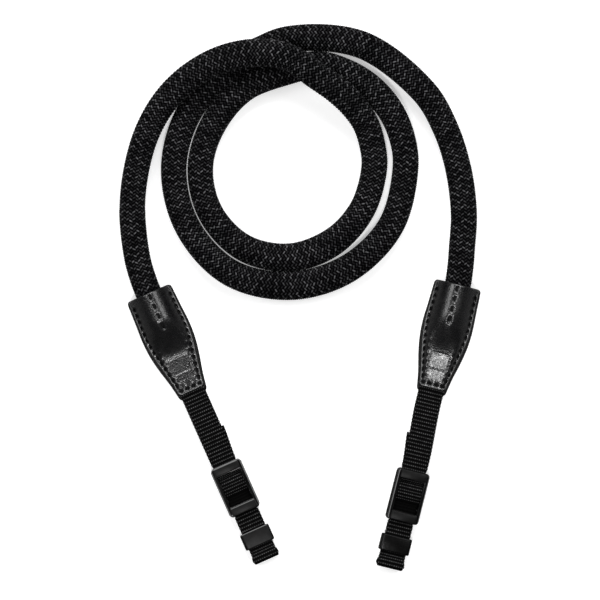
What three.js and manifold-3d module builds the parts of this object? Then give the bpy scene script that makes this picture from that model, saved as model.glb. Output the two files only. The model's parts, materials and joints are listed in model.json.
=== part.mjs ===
// Rope camera strap, lying in a loose coil: millimetres, +Z up, resting on Z = 0.
// A 10 mm braided rope makes a loose double coil. Each end is sewn into a leather tab of two panels,
// and a flat webbing loop leaves the tab through a slider and a keeper.
import * as THREE from 'three';
import { mergeVertices } from 'three/addons/utils/BufferGeometryUtils.js';
import Module from 'manifold-3d';

const wasm = await Module();
wasm.setup();

const { degToRad, lerp, smoothstep } = THREE.MathUtils;

// ---- driving dimensions -------------------------------------------------------------------------

const GAP = 0.3; // clearance between pieces that touch

const ROPE_RADIUS = 5;
const ROPE_SIDES = 12;
const ROPE_STEPS = 80;
const COIL_CENTRE = new THREE.Vector2(-3.64, 50.06);

const LEATHER = 1.2; // thickness of each panel
const TAB_LENGTH = 43.4; // back panel, from its mouth
const FRONT_LENGTH = 41.2; // the front panel stops short of the back one
const MOUTH_CORNER = 1.1;
const FOOT_CORNER = 1.6;
const EDGE_LIFT = 2.4; // how far the back panel's sides curl up at the mouth
const LIFT_RUN = 24; // distance from the mouth over which that curl dies out
const PANEL_STEPS = 24;
const ROW_CROWDING = 0.14; // draws a panel's rows closer together at both ends
const BACK_COLUMNS = 8;
const FRONT_COLUMNS = 20;

const ROPE_TAIL = 17.5; // rope sewn inside the tab
const SQUEEZE_RUN = 14; // rope outside the mouth that is already being flattened
const MOUTH_HALF_HEIGHT = 4.3; // rope in the mouth
const TAIL_HALF_HEIGHT = 1.9; // rope at its sewn end
const TUNNEL_FOOT = 6.3; // half width of the rope's tunnel under the front panel
const TUNNEL_WALL = 0.7; // how much wider the same bulge is on the outside
const DOME = { power: 3, fullness: 0.8 }; // section of the bulge: flat crown, steep sides
const BULGE_FADE = { start: 19, end: 25 }; // where the bulge dies out, past the rope's end

const WEB_WIDTH = 9.8;
const WEB_THICKNESS = 1.1;
const WEB_ROWS = { bent: 0.6, straight: 3 }; // spacing of the webbing's rows
const WEB_SHOULDER = 1.2; // run over which the front panel steps down beside the webbing
const WEB_START = 20.5; // webbing's sewn end, from the mouth
const WEB_END = 112.4; // outside of the fold
const WEB_LEVEL = 2.3; // middle of the two layers above the floor
const LAYER_OFFSET = (WEB_THICKNESS + GAP) / 2; // a layer's middle from the middle of both
const WEB_LIFT_START = 44; // the webbing climbs from the tab onto its own tail
const WEB_LIFT_END = 56;
const TAIL_LEAD = 14; // the tail ends this far above the slider
const TAIL_PEEK = 0.6; // how far the tail strays sideways from under the top layer
const FOLD_FLARE_START = 107.2;
const FOLD_RADIUS = 1.45; // middle of the webbing round the fold
const FOLD_STEPS = 8;

const SLIDER_LENGTH = 20.2;
const SLIDER_WIDTH = 12.4;
const SLIDER_HEIGHT = 5.6;
const SLIDER_CORNER = 1.5;
const SLIDER_BEVEL = 0.45;
const RAIL = 1.0; // side rails of the slider
const END_BAR = 3.8; // end bars, along the strap
const MIDDLE_BAR_AT = 8.3; // centre of the middle bar from the slider's upper edge
const MIDDLE_BAR_RADIUS = 1.1;
const MIDDLE_BAR_LEVEL = 1.45;
const ARCH_CREST = 4.1; // middle of both layers where they pass over the middle bar
const ARCH = { rise: 4.7, crest: 7.4, fall: 9.2, end: 13 }; // from the slider's upper edge

const KEEPER_AT = 99.6; // keeper's upper edge, from the mouth
const KEEPER_LENGTH = 6.4;
const KEEPER_WALL = 0.75;
const KEEPER_CORNER = 1.2;

const ROLL_START = 46; // the webbing twists between the tab and the slider
const ROLL_END = 70;

// Each end lies straight: its mouth, the angle of its run from straight down, the slider's upper
// edge from the mouth, and the roll that the slider, the keeper and the loop lie at.
const ENDS = [
  { side: 'left', mouth: [-58.3, 1.76], lean: 24, sliderAt: 72, roll: 0, lift: 0, drift: 0, peek: 1 },
  { side: 'right', mouth: [60.86, 5.06], lean: -14.2, sliderAt: 73.6, roll: -10, lift: 1.1, drift: 1,
    peek: -1 },
];

// Rope round the coil: turn is clockwise from +Y in degrees, out is the distance from the coil's
// centre, rise the height above lying on the floor. It starts near the left tab, passes over both
// other strands at the top, runs the inner turn, then the middle turn, and ends near the right tab.
const COIL = [
  { turn: 240, out: 68.2, rise: 0 },
  { turn: 255, out: 63, rise: 0 },
  { turn: 270, out: 59.1, rise: 0.4 },
  { turn: 285, out: 56.5, rise: 2.4 },
  { turn: 300, out: 54.3, rise: 5.6 },
  { turn: 315, out: 52, rise: 8.6 },
  { turn: 330, out: 49.5, rise: 10.3 },
  { turn: 345, out: 46, rise: 10.7 },
  { turn: 360, out: 41.8, rise: 10.6 },
  { turn: 375, out: 37.3, rise: 10 },
  { turn: 390, out: 35.1, rise: 7.6 },
  { turn: 405, out: 34.2, rise: 4.4 },
  { turn: 420, out: 33.8, rise: 1.6 },
  { turn: 435, out: 33, rise: 0.2 },
  { turn: 450, out: 32.6, rise: 0 },
  { turn: 480, out: 32.4, rise: 0 },
  { turn: 510, out: 33, rise: 0 },
  { turn: 540, out: 34.7, rise: 0 },
  { turn: 570, out: 35.6, rise: 0 },
  { turn: 600, out: 35, rise: 0 },
  { turn: 630, out: 34.5, rise: 0 },
  { turn: 660, out: 34.4, rise: 0 },
  { turn: 690, out: 35.4, rise: 0 },
  { turn: 720, out: 37.9, rise: 0 },
  { turn: 750, out: 42.8, rise: 0 },
  { turn: 780, out: 44.4, rise: 0 },
  { turn: 810, out: 44.4, rise: 0 },
  { turn: 840, out: 44.9, rise: 0 },
  { turn: 870, out: 44.7, rise: 0 },
  { turn: 900, out: 45.8, rise: 0 },
  { turn: 930, out: 46.6, rise: 0 },
  { turn: 960, out: 45.7, rise: 0 },
  { turn: 990, out: 45.1, rise: 0 },
  { turn: 1020, out: 45.3, rise: 0 },
  { turn: 1050, out: 46.4, rise: 0 },
  { turn: 1080, out: 49.8, rise: 0 },
  { turn: 1110, out: 54.4, rise: 0 },
  { turn: 1140, out: 58.9, rise: 0 },
  { turn: 1170, out: 64.7, rise: 0 },
  { turn: 1185, out: 69.2, rise: 0 },
];

// Rope where it nears a tab and inside it, in the end's own frame: x runs into the tab from its
// mouth, and y is across.
const ENTRIES = {
  left: [{ x: -7, y: 0.5 }, { x: 0, y: 0.05 }, { x: 8, y: -0.05 }, { x: ROPE_TAIL, y: 0 }],
  right: [{ x: -14, y: -2.1 }, { x: -7, y: -0.9 }, { x: 0, y: -0.15 }, { x: 8, y: 0.1 },
    { x: ROPE_TAIL, y: 0 }],
};

// Half width of the back panel along the tab, and how far the front panel stands inside it.
const TAB_OUTLINE = [
  { at: 0, half: 9.15, inset: 0.5 },
  { at: 9, half: 9.5, inset: 0.6 },
  { at: 17, half: 9.85, inset: 0.8 },
  { at: 23, half: 9.5, inset: 1 },
  { at: 29, half: 8.45, inset: 1.1 },
  { at: 36, half: 6.8, inset: 0.9 },
  { at: TAB_LENGTH, half: 5.5, inset: 0.6 },
];

// ---- finishes -----------------------------------------------------------------------------------

const finish = (color, roughness) => new THREE.MeshStandardMaterial({ color, roughness, metalness: 0 });
const ROPE_FINISH = finish(0x202022, 0.85);
const WEBBING_FINISH = finish(0x17171a, 0.8);
const LEATHER_FINISH = finish(0x121213, 0.35);
const LINING_FINISH = finish(0x1a1a1b, 0.5);
const PLASTIC_FINISH = finish(0x19191b, 0.45);

// ---- helpers ------------------------------------------------------------------------------------

/** Value of a column at a distance, on a smooth curve through a table's rows. */
function valueAt(rows, column, at) {
  let i = 0;
  while (i < rows.length - 2 && at > rows[i + 1].at) i += 1;
  const slope = (j) => {
    const before = rows[Math.max(j - 1, 0)];
    const after = rows[Math.min(j + 1, rows.length - 1)];
    return (after[column] - before[column]) / (after.at - before.at);
  };
  const span = rows[i + 1].at - rows[i].at;
  const t = THREE.MathUtils.clamp((at - rows[i].at) / span, 0, 1);
  const stay = (1 + 2 * t) * (1 - t) ** 2;
  const lead = t * (1 - t) ** 2 * span * slope(i);
  const trail = t * t * (t - 1) * span * slope(i + 1);
  return stay * rows[i][column] + lead + (1 - stay) * rows[i + 1][column] + trail;
}

/** Geometry reduced to its places, with shared vertices merged, so that it is one closed surface. */
function closed(geometry) {
  geometry.deleteAttribute('normal');
  geometry.deleteAttribute('uv');
  const merged = mergeVertices(geometry, 1e-4);
  merged.computeVertexNormals();
  return merged;
}

/** Moves every vertex of a geometry by a function of its place, and closes the result. */
function shaped(geometry, move) {
  const places = geometry.getAttribute('position');
  const place = new THREE.Vector3();
  for (let i = 0; i < places.count; i += 1) {
    place.fromBufferAttribute(places, i);
    move(place);
    places.setXYZ(i, place.x, place.y, place.z);
  }
  return closed(geometry);
}

function solidOf(geometry) {
  const surface = closed(geometry);
  const vertProperties = Float32Array.from(surface.getAttribute('position').array);
  const triVerts = Uint32Array.from(surface.index.array);
  return new wasm.Manifold(new wasm.Mesh({ numProp: 3, vertProperties, triVerts }));
}

function geometryOf(solid) {
  const { vertProperties, triVerts } = solid.getMesh();
  const geometry = new THREE.BufferGeometry();
  geometry.setAttribute('position', new THREE.BufferAttribute(vertProperties, 3));
  geometry.setIndex(new THREE.BufferAttribute(triVerts, 1));
  geometry.computeVertexNormals();
  return geometry;
}

/** Rectangle with round corners, centred on x and y. */
function roundedRectangle(length, width, corner, Kind = THREE.Shape) {
  const x = length / 2 - corner;
  const y = width / 2 - corner;
  const outline = new Kind();
  outline.absarc(x, y, corner, 0, Math.PI / 2);
  outline.absarc(-x, y, corner, Math.PI / 2, Math.PI);
  outline.absarc(-x, -y, corner, Math.PI, 1.5 * Math.PI);
  outline.absarc(x, -y, corner, 1.5 * Math.PI, 2 * Math.PI);
  return outline;
}

/** Place of an end's own frame: x runs down the strap from the mouth, y is across, z is up. */
function frameOf(end) {
  const turn = new THREE.Matrix4().makeRotationZ(degToRad(end.lean - 90));
  return turn.setPosition(end.mouth[0], end.mouth[1], 0);
}

function named(name, geometry, material) {
  const mesh = new THREE.Mesh(geometry, material);
  mesh.name = name;
  return mesh;
}

// ---- rope ---------------------------------------------------------------------------------------

/** Half the rope's height at a distance into the tab, where it is sewn ever flatter. */
function ropeHalfHeight(x) {
  if (x < 0) return lerp(ROPE_RADIUS, MOUTH_HALF_HEIGHT, smoothstep(x, -SQUEEZE_RUN, 0));
  return lerp(MOUTH_HALF_HEIGHT, TAIL_HALF_HEIGHT, Math.min(x / ROPE_TAIL, 1));
}

/** Height of the rope's middle as it climbs onto the back panel. */
function ropeLevel(x) {
  return ropeHalfHeight(x) + (LEATHER + GAP) * smoothstep(x, -SQUEEZE_RUN, -1);
}

function ropeRoute() {
  const entry = (end) => ENTRIES[end.side].map(({ x, y }) => (
    new THREE.Vector3(x, y, ropeLevel(x)).applyMatrix4(frameOf(end))));
  const coil = COIL.map(({ turn, out, rise }) => new THREE.Vector3(
    COIL_CENTRE.x + out * Math.sin(degToRad(turn)),
    COIL_CENTRE.y + out * Math.cos(degToRad(turn)),
    ROPE_RADIUS + rise,
  ));
  const [left, right] = ENDS;
  const route = new THREE.CatmullRomCurve3([...entry(left).reverse(), ...coil, ...entry(right)]);
  route.arcLengthDivisions = 1600;
  return route;
}

/** Flattens a point of the rope where it nears a tab and inside it. */
function squeezeInTab(place, end) {
  const frame = frameOf(end);
  const local = place.clone().applyMatrix4(frame.clone().invert());
  if (local.x < -SQUEEZE_RUN || local.x > LIFT_RUN || Math.abs(local.y) > 2 * ROPE_RADIUS) return;
  const level = ropeLevel(local.x);
  place.z = level + (place.z - level) * ropeHalfHeight(local.x) / ROPE_RADIUS;
}

function rope() {
  const section = new THREE.Shape().absarc(0, 0, ROPE_RADIUS, 0, 2 * Math.PI);
  const tube = new THREE.ExtrudeGeometry(section, {
    steps: ROPE_STEPS,
    curveSegments: ROPE_SIDES / 2,
    extrudePath: ropeRoute(),
  });
  return shaped(tube, (place) => {
    ENDS.forEach((end) => squeezeInTab(place, end));
    place.z = Math.max(place.z, 0); // the rope lies on the surface
  });
}

// ---- leather tab --------------------------------------------------------------------------------

/** Half width of a panel, with its corners rounded at the mouth and at the foot. */
function halfWidth(x, length, insetShare) {
  const outline = valueAt(TAB_OUTLINE, 'half', x) - insetShare * valueAt(TAB_OUTLINE, 'inset', x);
  const cut = (distance, corner) => (
    distance < corner ? corner - Math.sqrt(corner ** 2 - (corner - distance) ** 2) : 0);
  return outline - cut(x, MOUTH_CORNER) - cut(length - x, FOOT_CORNER);
}

/** Height of the back panel's underside: flat at the foot, curled up at the sides of the mouth. */
function curl(x, y) {
  return EDGE_LIFT * (1 - smoothstep(x, 0, LIFT_RUN)) * (y / TAB_OUTLINE[0].half) ** 2;
}

/** Height of the front panel's bulge over the rope and the webbing, above its flat margin. */
function bulge(x, y, wall) {
  const reach = Math.min(Math.abs(y) / (TUNNEL_FOOT + wall), 1);
  const dome = (1 - reach ** DOME.power) ** DOME.fullness;
  const fade = 1 - smoothstep(x, BULGE_FADE.start, BULGE_FADE.end);
  const overRope = (2 * ropeHalfHeight(x) + GAP) * fade * dome;
  const webHalf = WEB_WIDTH / 2 + 2 * GAP + wall;
  const overWeb = (WEB_THICKNESS + GAP) * (1 - smoothstep(Math.abs(y), webHalf,
    webHalf + WEB_SHOULDER));
  return Math.max(overRope, overWeb);
}

/** Leather panel between two heights, which are functions of the distance along and across. */
function panel(length, columns, insetShare, low, high) {
  const sheet = new THREE.BoxGeometry(2, 2, 2, PANEL_STEPS, columns, 1);
  return shaped(sheet, (place) => {
    const share = (place.x + 1) / 2;
    const x = length * (share - ROW_CROWDING * Math.sin(2 * Math.PI * share));
    const y = place.y * halfWidth(x, length, insetShare);
    place.set(x, y, place.z < 0 ? low(x, y) : high(x, y));
  });
}

const leatherBack = () => panel(
  TAB_LENGTH,
  BACK_COLUMNS,
  0,
  curl,
  (x, y) => curl(x, y) + LEATHER,
);

const leatherFront = () => panel(
  FRONT_LENGTH,
  FRONT_COLUMNS,
  1,
  (x, y) => curl(x, y) + LEATHER + GAP + bulge(x, y, 0),
  (x, y) => curl(x, y) + 2 * LEATHER + GAP + bulge(x, y, TUNNEL_WALL),
);

// ---- webbing ------------------------------------------------------------------------------------

/** Height of the middle of both layers, arched over the slider's middle bar. */
function layersLevel(x, end) {
  const along = x - end.sliderAt;
  const arch = smoothstep(along, ARCH.rise, ARCH.crest) * (1 - smoothstep(along, ARCH.fall, ARCH.end));
  return lerp(WEB_LEVEL, ARCH_CREST, arch);
}

/** Distances along the strap at which the webbing has a row: close where it bends. */
function webbingRows(from, to, end) {
  const rows = [];
  let x = from;
  while (x < to) {
    rows.push(x);
    const along = x - end.sliderAt;
    const bends = (along > ARCH.rise - WEB_ROWS.bent && along < ARCH.end)
      || x > FOLD_FLARE_START - WEB_ROWS.bent;
    x += bends ? WEB_ROWS.bent : WEB_ROWS.straight;
  }
  rows.push(to);
  return rows;
}

/** Middle line of one layer: layer is +1 for the top one and -1 for the tail beneath it. */
function layerPoint(x, layer, end) {
  const step = 0.01;
  const slope = (layersLevel(x + step, end) - layersLevel(x - step, end)) / (2 * step);
  const normal = new THREE.Vector2(-slope, 1).normalize();
  const foldCentre = WEB_END - WEB_THICKNESS / 2 - FOLD_RADIUS;
  const flare = smoothstep(x, FOLD_FLARE_START, foldCentre);
  const offset = layer * lerp(LAYER_OFFSET, FOLD_RADIUS, flare);
  const inTab = layer > 0 ? 1 - smoothstep(x, WEB_LIFT_START, WEB_LIFT_END) : 0;
  const tabLevel = LEATHER + GAP + WEB_THICKNESS / 2;
  const level = lerp(layersLevel(x, end) + offset * normal.y, tabLevel, inTab);
  const stray = layer < 0 ? end.peek * TAIL_PEEK * (1 - smoothstep(x, end.sliderAt - TAIL_LEAD,
    end.sliderAt)) : 0;
  return new THREE.Vector3(x + offset * normal.x, stray, level);
}

/** Middle line of the whole webbing: out of the tab, round the fold and back to the tail's end. */
function webbingLine(end) {
  const foldCentre = WEB_END - WEB_THICKNESS / 2 - FOLD_RADIUS;
  const line = webbingRows(WEB_START, foldCentre, end).map((x) => layerPoint(x, 1, end));
  for (let i = 1; i < FOLD_STEPS; i += 1) {
    const turn = Math.PI * i / FOLD_STEPS;
    line.push(new THREE.Vector3(
      foldCentre + FOLD_RADIUS * Math.sin(turn), 0, WEB_LEVEL + FOLD_RADIUS * Math.cos(turn)));
  }
  const back = webbingRows(end.sliderAt - TAIL_LEAD, foldCentre, end).reverse();
  return [...line, ...back.map((x) => layerPoint(x, -1, end))];
}

/** Rolls a place of the strap about its own middle line, as far as the end is rolled there. */
function rollPlace(place, end) {
  const share = smoothstep(place.x, ROLL_START, ROLL_END);
  const angle = degToRad(end.roll) * share;
  const height = place.z - WEB_LEVEL;
  const { y } = place;
  place.y = y * Math.cos(angle) - height * Math.sin(angle) + end.drift * share;
  place.z = WEB_LEVEL + y * Math.sin(angle) + height * Math.cos(angle) + end.lift * share;
}

function webbing(end) {
  const line = webbingLine(end);
  const last = line.length - 1;
  const band = new THREE.BoxGeometry(last, WEB_WIDTH, WEB_THICKNESS, last, 1, 1);
  return shaped(band, (place) => {
    const i = Math.round(place.x + last / 2);
    const ahead = line[Math.min(i + 1, last)];
    const behind = line[Math.max(i - 1, 0)];
    const run = new THREE.Vector2(ahead.x - behind.x, ahead.z - behind.z).normalize();
    const { y, z } = place;
    place.set(line[i].x - run.y * z, line[i].y + y, line[i].z + run.x * z);
    rollPlace(place, end);
  });
}

// ---- slider and keeper --------------------------------------------------------------------------

/** Ladder slider: two rails, two end bars above the webbing and a low middle bar beneath it. */
function slider() {
  const outline = roundedRectangle(SLIDER_LENGTH - 2 * SLIDER_BEVEL, SLIDER_WIDTH - 2 * SLIDER_BEVEL,
    SLIDER_CORNER - SLIDER_BEVEL);
  const body = new THREE.ExtrudeGeometry(outline, {
    depth: SLIDER_HEIGHT - 2 * SLIDER_BEVEL,
    bevelThickness: SLIDER_BEVEL,
    bevelSize: SLIDER_BEVEL,
    bevelSegments: 2,
    curveSegments: 5,
  });
  body.translate(SLIDER_LENGTH / 2, 0, SLIDER_BEVEL);

  const inside = SLIDER_WIDTH - 2 * RAIL;
  const barUnderside = WEB_LEVEL + LAYER_OFFSET + WEB_THICKNESS / 2 + GAP;
  const passage = new THREE.BoxGeometry(2 * SLIDER_LENGTH, inside, 2 * barUnderside);
  passage.translate(SLIDER_LENGTH / 2, 0, 0);
  const windowLength = SLIDER_LENGTH - 2 * END_BAR;
  const window = new THREE.BoxGeometry(windowLength, inside, 3 * SLIDER_HEIGHT);
  window.translate(SLIDER_LENGTH / 2, 0, 0);

  const bar = new THREE.CylinderGeometry(MIDDLE_BAR_RADIUS, MIDDLE_BAR_RADIUS, inside + RAIL, 12);
  bar.translate(MIDDLE_BAR_AT, 0, MIDDLE_BAR_LEVEL);
  return geometryOf(solidOf(body).subtract(solidOf(passage)).subtract(solidOf(window))
    .add(solidOf(bar)));
}

/** Keeper: a plain sleeve round both layers of webbing. */
function keeper() {
  const bore = {
    width: WEB_WIDTH + 2 * GAP,
    height: 2 * (LAYER_OFFSET + WEB_THICKNESS / 2 + GAP),
  };
  const wall = 2 * KEEPER_WALL;
  const sleeve = roundedRectangle(bore.width + wall, bore.height + wall, KEEPER_CORNER);
  sleeve.holes.push(roundedRectangle(bore.width, bore.height, KEEPER_CORNER - KEEPER_WALL, THREE.Path));
  const tube = new THREE.ExtrudeGeometry(sleeve, {
    depth: KEEPER_LENGTH,
    bevelEnabled: false,
    curveSegments: 4,
  });
  const alongStrap = new THREE.Matrix4().makeBasis(
    new THREE.Vector3(0, 1, 0), new THREE.Vector3(0, 0, 1), new THREE.Vector3(1, 0, 0));
  return closed(tube.applyMatrix4(alongStrap));
}

/** Puts a rigid piece on the strap's middle line, at the roll that the end lies at. */
function onStrap(mesh, end, x, below) {
  const tilt = degToRad(end.roll);
  mesh.position.set(x, end.drift + below * Math.sin(tilt), WEB_LEVEL + end.lift - below * Math.cos(tilt));
  mesh.rotation.x = tilt;
  return mesh;
}

// ---- assembly -----------------------------------------------------------------------------------

function strapEnd(end) {
  const group = new THREE.Group();
  group.position.set(end.mouth[0], end.mouth[1], 0);
  group.rotation.z = degToRad(end.lean - 90);
  group.add(
    named(`leather_back_${end.side}`, leatherBack(), LINING_FINISH),
    named(`leather_front_${end.side}`, leatherFront(), LEATHER_FINISH),
    named(`webbing_${end.side}`, webbing(end), WEBBING_FINISH),
    onStrap(named(`slider_${end.side}`, slider(), PLASTIC_FINISH), end, end.sliderAt, WEB_LEVEL),
    onStrap(named(`keeper_${end.side}`, keeper(), PLASTIC_FINISH), end, KEEPER_AT, 0),
  );
  return group;
}

const strap = new THREE.Group();
strap.add(named('rope', rope(), ROPE_FINISH), ...ENDS.map(strapEnd));

export default strap;
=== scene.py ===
"""Looks of a rope camera strap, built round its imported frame: metres, +Z up, resting on Z = 0."""

import json
import math

import bmesh
import bpy
import numpy as np
from mathutils import Matrix, Vector


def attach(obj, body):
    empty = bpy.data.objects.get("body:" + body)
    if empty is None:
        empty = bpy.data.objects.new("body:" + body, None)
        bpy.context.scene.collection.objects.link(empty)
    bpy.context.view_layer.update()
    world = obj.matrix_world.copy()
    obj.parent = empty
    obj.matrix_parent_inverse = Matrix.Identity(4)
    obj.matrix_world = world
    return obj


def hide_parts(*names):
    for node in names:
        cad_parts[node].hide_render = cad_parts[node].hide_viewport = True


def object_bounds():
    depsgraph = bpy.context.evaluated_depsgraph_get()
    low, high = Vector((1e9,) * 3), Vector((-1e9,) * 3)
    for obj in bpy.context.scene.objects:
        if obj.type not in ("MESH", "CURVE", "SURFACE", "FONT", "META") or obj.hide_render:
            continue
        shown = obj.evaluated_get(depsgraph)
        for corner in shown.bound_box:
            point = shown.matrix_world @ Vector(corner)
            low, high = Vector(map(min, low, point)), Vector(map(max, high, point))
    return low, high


bl_info = {
    "name": "Rope camera strap",
    "version": (1, 0, 0),
    "blender": (4, 5, 0),
    "location": "3D View > Sidebar > Strap",
    "description": "Braids, sews and finishes a rope camera strap round its packed frame",
    "category": "Object",
}

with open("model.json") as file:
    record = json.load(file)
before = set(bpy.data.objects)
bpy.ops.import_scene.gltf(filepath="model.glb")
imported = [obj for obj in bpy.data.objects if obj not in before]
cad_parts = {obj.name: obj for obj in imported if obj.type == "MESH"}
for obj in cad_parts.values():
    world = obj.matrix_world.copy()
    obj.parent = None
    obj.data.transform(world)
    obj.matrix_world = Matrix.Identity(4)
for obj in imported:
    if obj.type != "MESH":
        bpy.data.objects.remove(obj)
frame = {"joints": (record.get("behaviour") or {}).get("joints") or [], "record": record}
CAD_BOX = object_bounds()
RECORD = frame["record"]

SIDES = ("left", "right")
UV = "pattern"  # UV map that the woven surfaces read


def table(columns, *rows):
    """Rows with named columns."""
    return [dict(zip(columns.split(), row)) for row in rows]


# ---- where each end lies ----

REST_FROM_MOUTH = 0.034  # the flat face under a tab, from the tab's mouth
GAP = 0.0003  # clearance between pieces that touch

# The slider's upper edge from the mouth; roll, lift and drift of the slider, keeper and loop about
# the strap's own line; the side that the webbing's tail peeks out on; the height of the tab's bulge
# where its gentle slope starts; whether the plastic's edges towards the tab get a painted highlight
# in pale grey; and how matt the keeper is.
ENDS = {
    "left": {"slider_at": 0.072, "roll": 0.0, "lift": 0.0, "drift": 0.0, "peek": 1,
             "knee": 0.0007, "painted_glint": True, "matt": 1},
    "right": {"slider_at": 0.0736, "roll": -10.0, "lift": 0.0011, "drift": 0.001, "peek": -1,
              "knee": 0.0029, "painted_glint": False, "matt": 0.35},
}
ROLL_RUN = (0.046, 0.070)  # the webbing twists over this stretch

# ---- rope route ----

COIL_CENTRE = (-0.00364, 0.05006)
SQUEEZE_RUN = 0.014  # rope outside a mouth that is already being flattened
CLIMBED = 0.001  # this far outside a mouth the rope is already up on the leather
ROPE_TAIL = 0.0175  # rope sewn inside the tab
MOUTH_HALF_HEIGHT = 0.0043
TAIL_HALF_HEIGHT = 0.0019
ROPE_RADIUS = 0.005

# Clockwise turn from +Y in degrees, distance from the coil's centre, height above lying down.
COIL = table(
    "turn out rise",
    (240, 0.0682, 0), (255, 0.0630, 0), (270, 0.0591, 0.0004), (285, 0.0565, 0.0024),
    (300, 0.0541, 0.0056), (315, 0.0514, 0.0086), (330, 0.0486, 0.0103), (345, 0.0455, 0.0107),
    (360, 0.0418, 0.0106), (375, 0.0366, 0.0100), (390, 0.0346, 0.0076), (405, 0.0338, 0.0044),
    (420, 0.0334, 0.0016), (435, 0.0326, 0.0002), (450, 0.0322, 0), (480, 0.0319, 0),
    (510, 0.0329, 0), (540, 0.0346, 0), (570, 0.0357, 0), (600, 0.0354, 0),
    (630, 0.0347, 0), (660, 0.0340, 0), (690, 0.0354, 0), (720, 0.0373, 0),
    (735, 0.0409, 0), (750, 0.0422, 0), (765, 0.0434, 0), (780, 0.0442, 0),
    (795, 0.0444, 0), (810, 0.0442, 0), (840, 0.0446, 0), (870, 0.0447, 0),
    (900, 0.0455, 0), (930, 0.0466, 0), (960, 0.0457, 0), (990, 0.0449, 0),
    (1020, 0.0444, 0), (1050, 0.0451, 0), (1065, 0.0465, 0), (1080, 0.0494, 0),
    (1110, 0.0545, 0), (1140, 0.0589, 0), (1155, 0.0613, 0), (1170, 0.0644, 0),
    (1185, 0.0690, 0),
)

# How broad the rope lies at those turns, against its plain width: it spreads where loops press.
BREADTH = table(
    "at share",
    (0, 1.02), (20, 1.05), (40, 1.05), (60, 1.02), (80, 0.99), (90, 0.99),
    (120, 1.01), (140, 1.05), (155, 1.09), (190, 1.075), (210, 1.04), (235, 0.995),
    (260, 0.98), (285, 0.99), (310, 1.03), (330, 1.055), (345, 1.055), (360, 1.02),
)

# Rope where it nears a tab and inside it: x runs into the tab from its mouth, y is across.
ENTRIES = {
    "left": table("x y", (-0.007, 0.0005), (0, 0.00005), (0.008, -0.00005), (ROPE_TAIL, 0)),
    "right": table(
        "x y", (-0.014, -0.0021), (-0.007, -0.0009), (0, -0.00015), (0.008, 0.0001), (ROPE_TAIL, 0)),
}

# ---- leather tab ----

LEATHER = 0.0012
TAB_LENGTH = 0.0434
FRONT_LENGTH = 0.0412
MOUTH_CORNER = 0.0014
FOOT_CORNER = 0.0016
EDGE_LIFT = 0.0013  # how far the back panel's sides curl up at the mouth
LIFT_RUN = 0.024  # distance from the mouth over which they lie down
# Height of the front panel's bulge at the mouth and at the foot, and the stretch where it falls.
RIDGE = {"mouth": 0.0089, "fall": (0.0105, 0.028), "foot": 0.0011}
# Powers of the bulge's section as a dome over the rope and as a squarer crown past it; where one
# turns into the other; where that turns into a flat band over the webbing; and how far the bulge
# reaches past the seam, how far past the webbing, and how broad the step beside it is.
SECTION = {"dome": 0.75, "crown": 12, "squaring": (0.016, 0.028), "flattening": (0.036, 0.041),
           "past_seam": 0.0002, "past_webbing": 0.0001, "step": 0.0014}

# Half width of the back panel, how far the front one stands inside it, and how far the stitching
# stands inside the back panel's edge.
TAB_OUTLINE = table(
    "at half inset margin",
    (0, 0.00915, 0.0005, 0.0019),
    (0.009, 0.0095, 0.0006, 0.0020),
    (0.017, 0.00985, 0.0008, 0.0021),
    (0.023, 0.0095, 0.0010, 0.0025),
    (0.029, 0.00845, 0.0011, 0.0024),
    (0.036, 0.0068, 0.0009, 0.0020),
    (TAB_LENGTH, 0.0055, 0.0006, 0.0020),
)

# ---- webbing, slider and keeper ----

WEB_WIDTH = 0.0098
WEB_THICKNESS = 0.0011
WEB_START = 0.0205  # the webbing's sewn end, from the mouth
WEB_END = 0.1124  # outside of its fold
WEB_LEVEL = 0.0023  # between its two layers
LAYER_OFFSET = (WEB_THICKNESS + GAP) / 2
WEB_LIFT = (0.044, 0.056)  # the top layer climbs off the tab over this stretch
TAIL_LEAD = 0.014  # the tail ends this far above the slider
TAIL_PEEK = 0.0008
FOLD_FLARE_START = 0.1072
FOLD_RADIUS = 0.00145
FOLD_CENTRE = WEB_END - WEB_THICKNESS / 2 - FOLD_RADIUS
ARCH_CREST = 0.0041
ARCH = {"rise": (0.0047, 0.0074), "fall": (0.0092, 0.013)}  # from the slider's upper edge

SLIDER_LENGTH = 0.0202
SLIDER_WIDTH = 0.0124
SLIDER_HEIGHT = 0.0056
SLIDER_CORNER = 0.0015
RAIL = 0.0014
END_BAR = 0.0038
BAR_UNDERSIDE = WEB_LEVEL + LAYER_OFFSET + WEB_THICKNESS / 2 + GAP
MIDDLE_BAR = {"at": 0.0083, "radius": 0.0011, "level": 0.00145}

KEEPER_AT = 0.0996
KEEPER_LENGTH = 0.0064
KEEPER_WALL = 0.00075
KEEPER_CORNER = 0.0012
KEEPER_RIM = 0.0005


# ---- settings ----

def length_setting(name, description, default):
    return bpy.props.FloatProperty(
        name=name, description=description, default=default, subtype="DISTANCE", unit="LENGTH")


def colour_setting(name, description, default):
    return bpy.props.FloatVectorProperty(
        name=name, description=description, default=default, subtype="COLOR", min=0, max=1)


class StageSettings(bpy.types.PropertyGroup):
    """Floor, light and camera."""

    floor_colour: colour_setting("Floor", "Colour of the floor", (0.82, 0.82, 0.82))
    table_glow: bpy.props.FloatProperty(
        name="Table glow", description="Light that comes up through the pale table", default=0.42)
    camera_height: length_setting("Camera height", "Height of the camera above the floor", 4.0)
    view_width: length_setting("View width", "Width of the floor that the camera sees", 0.231)


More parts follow.
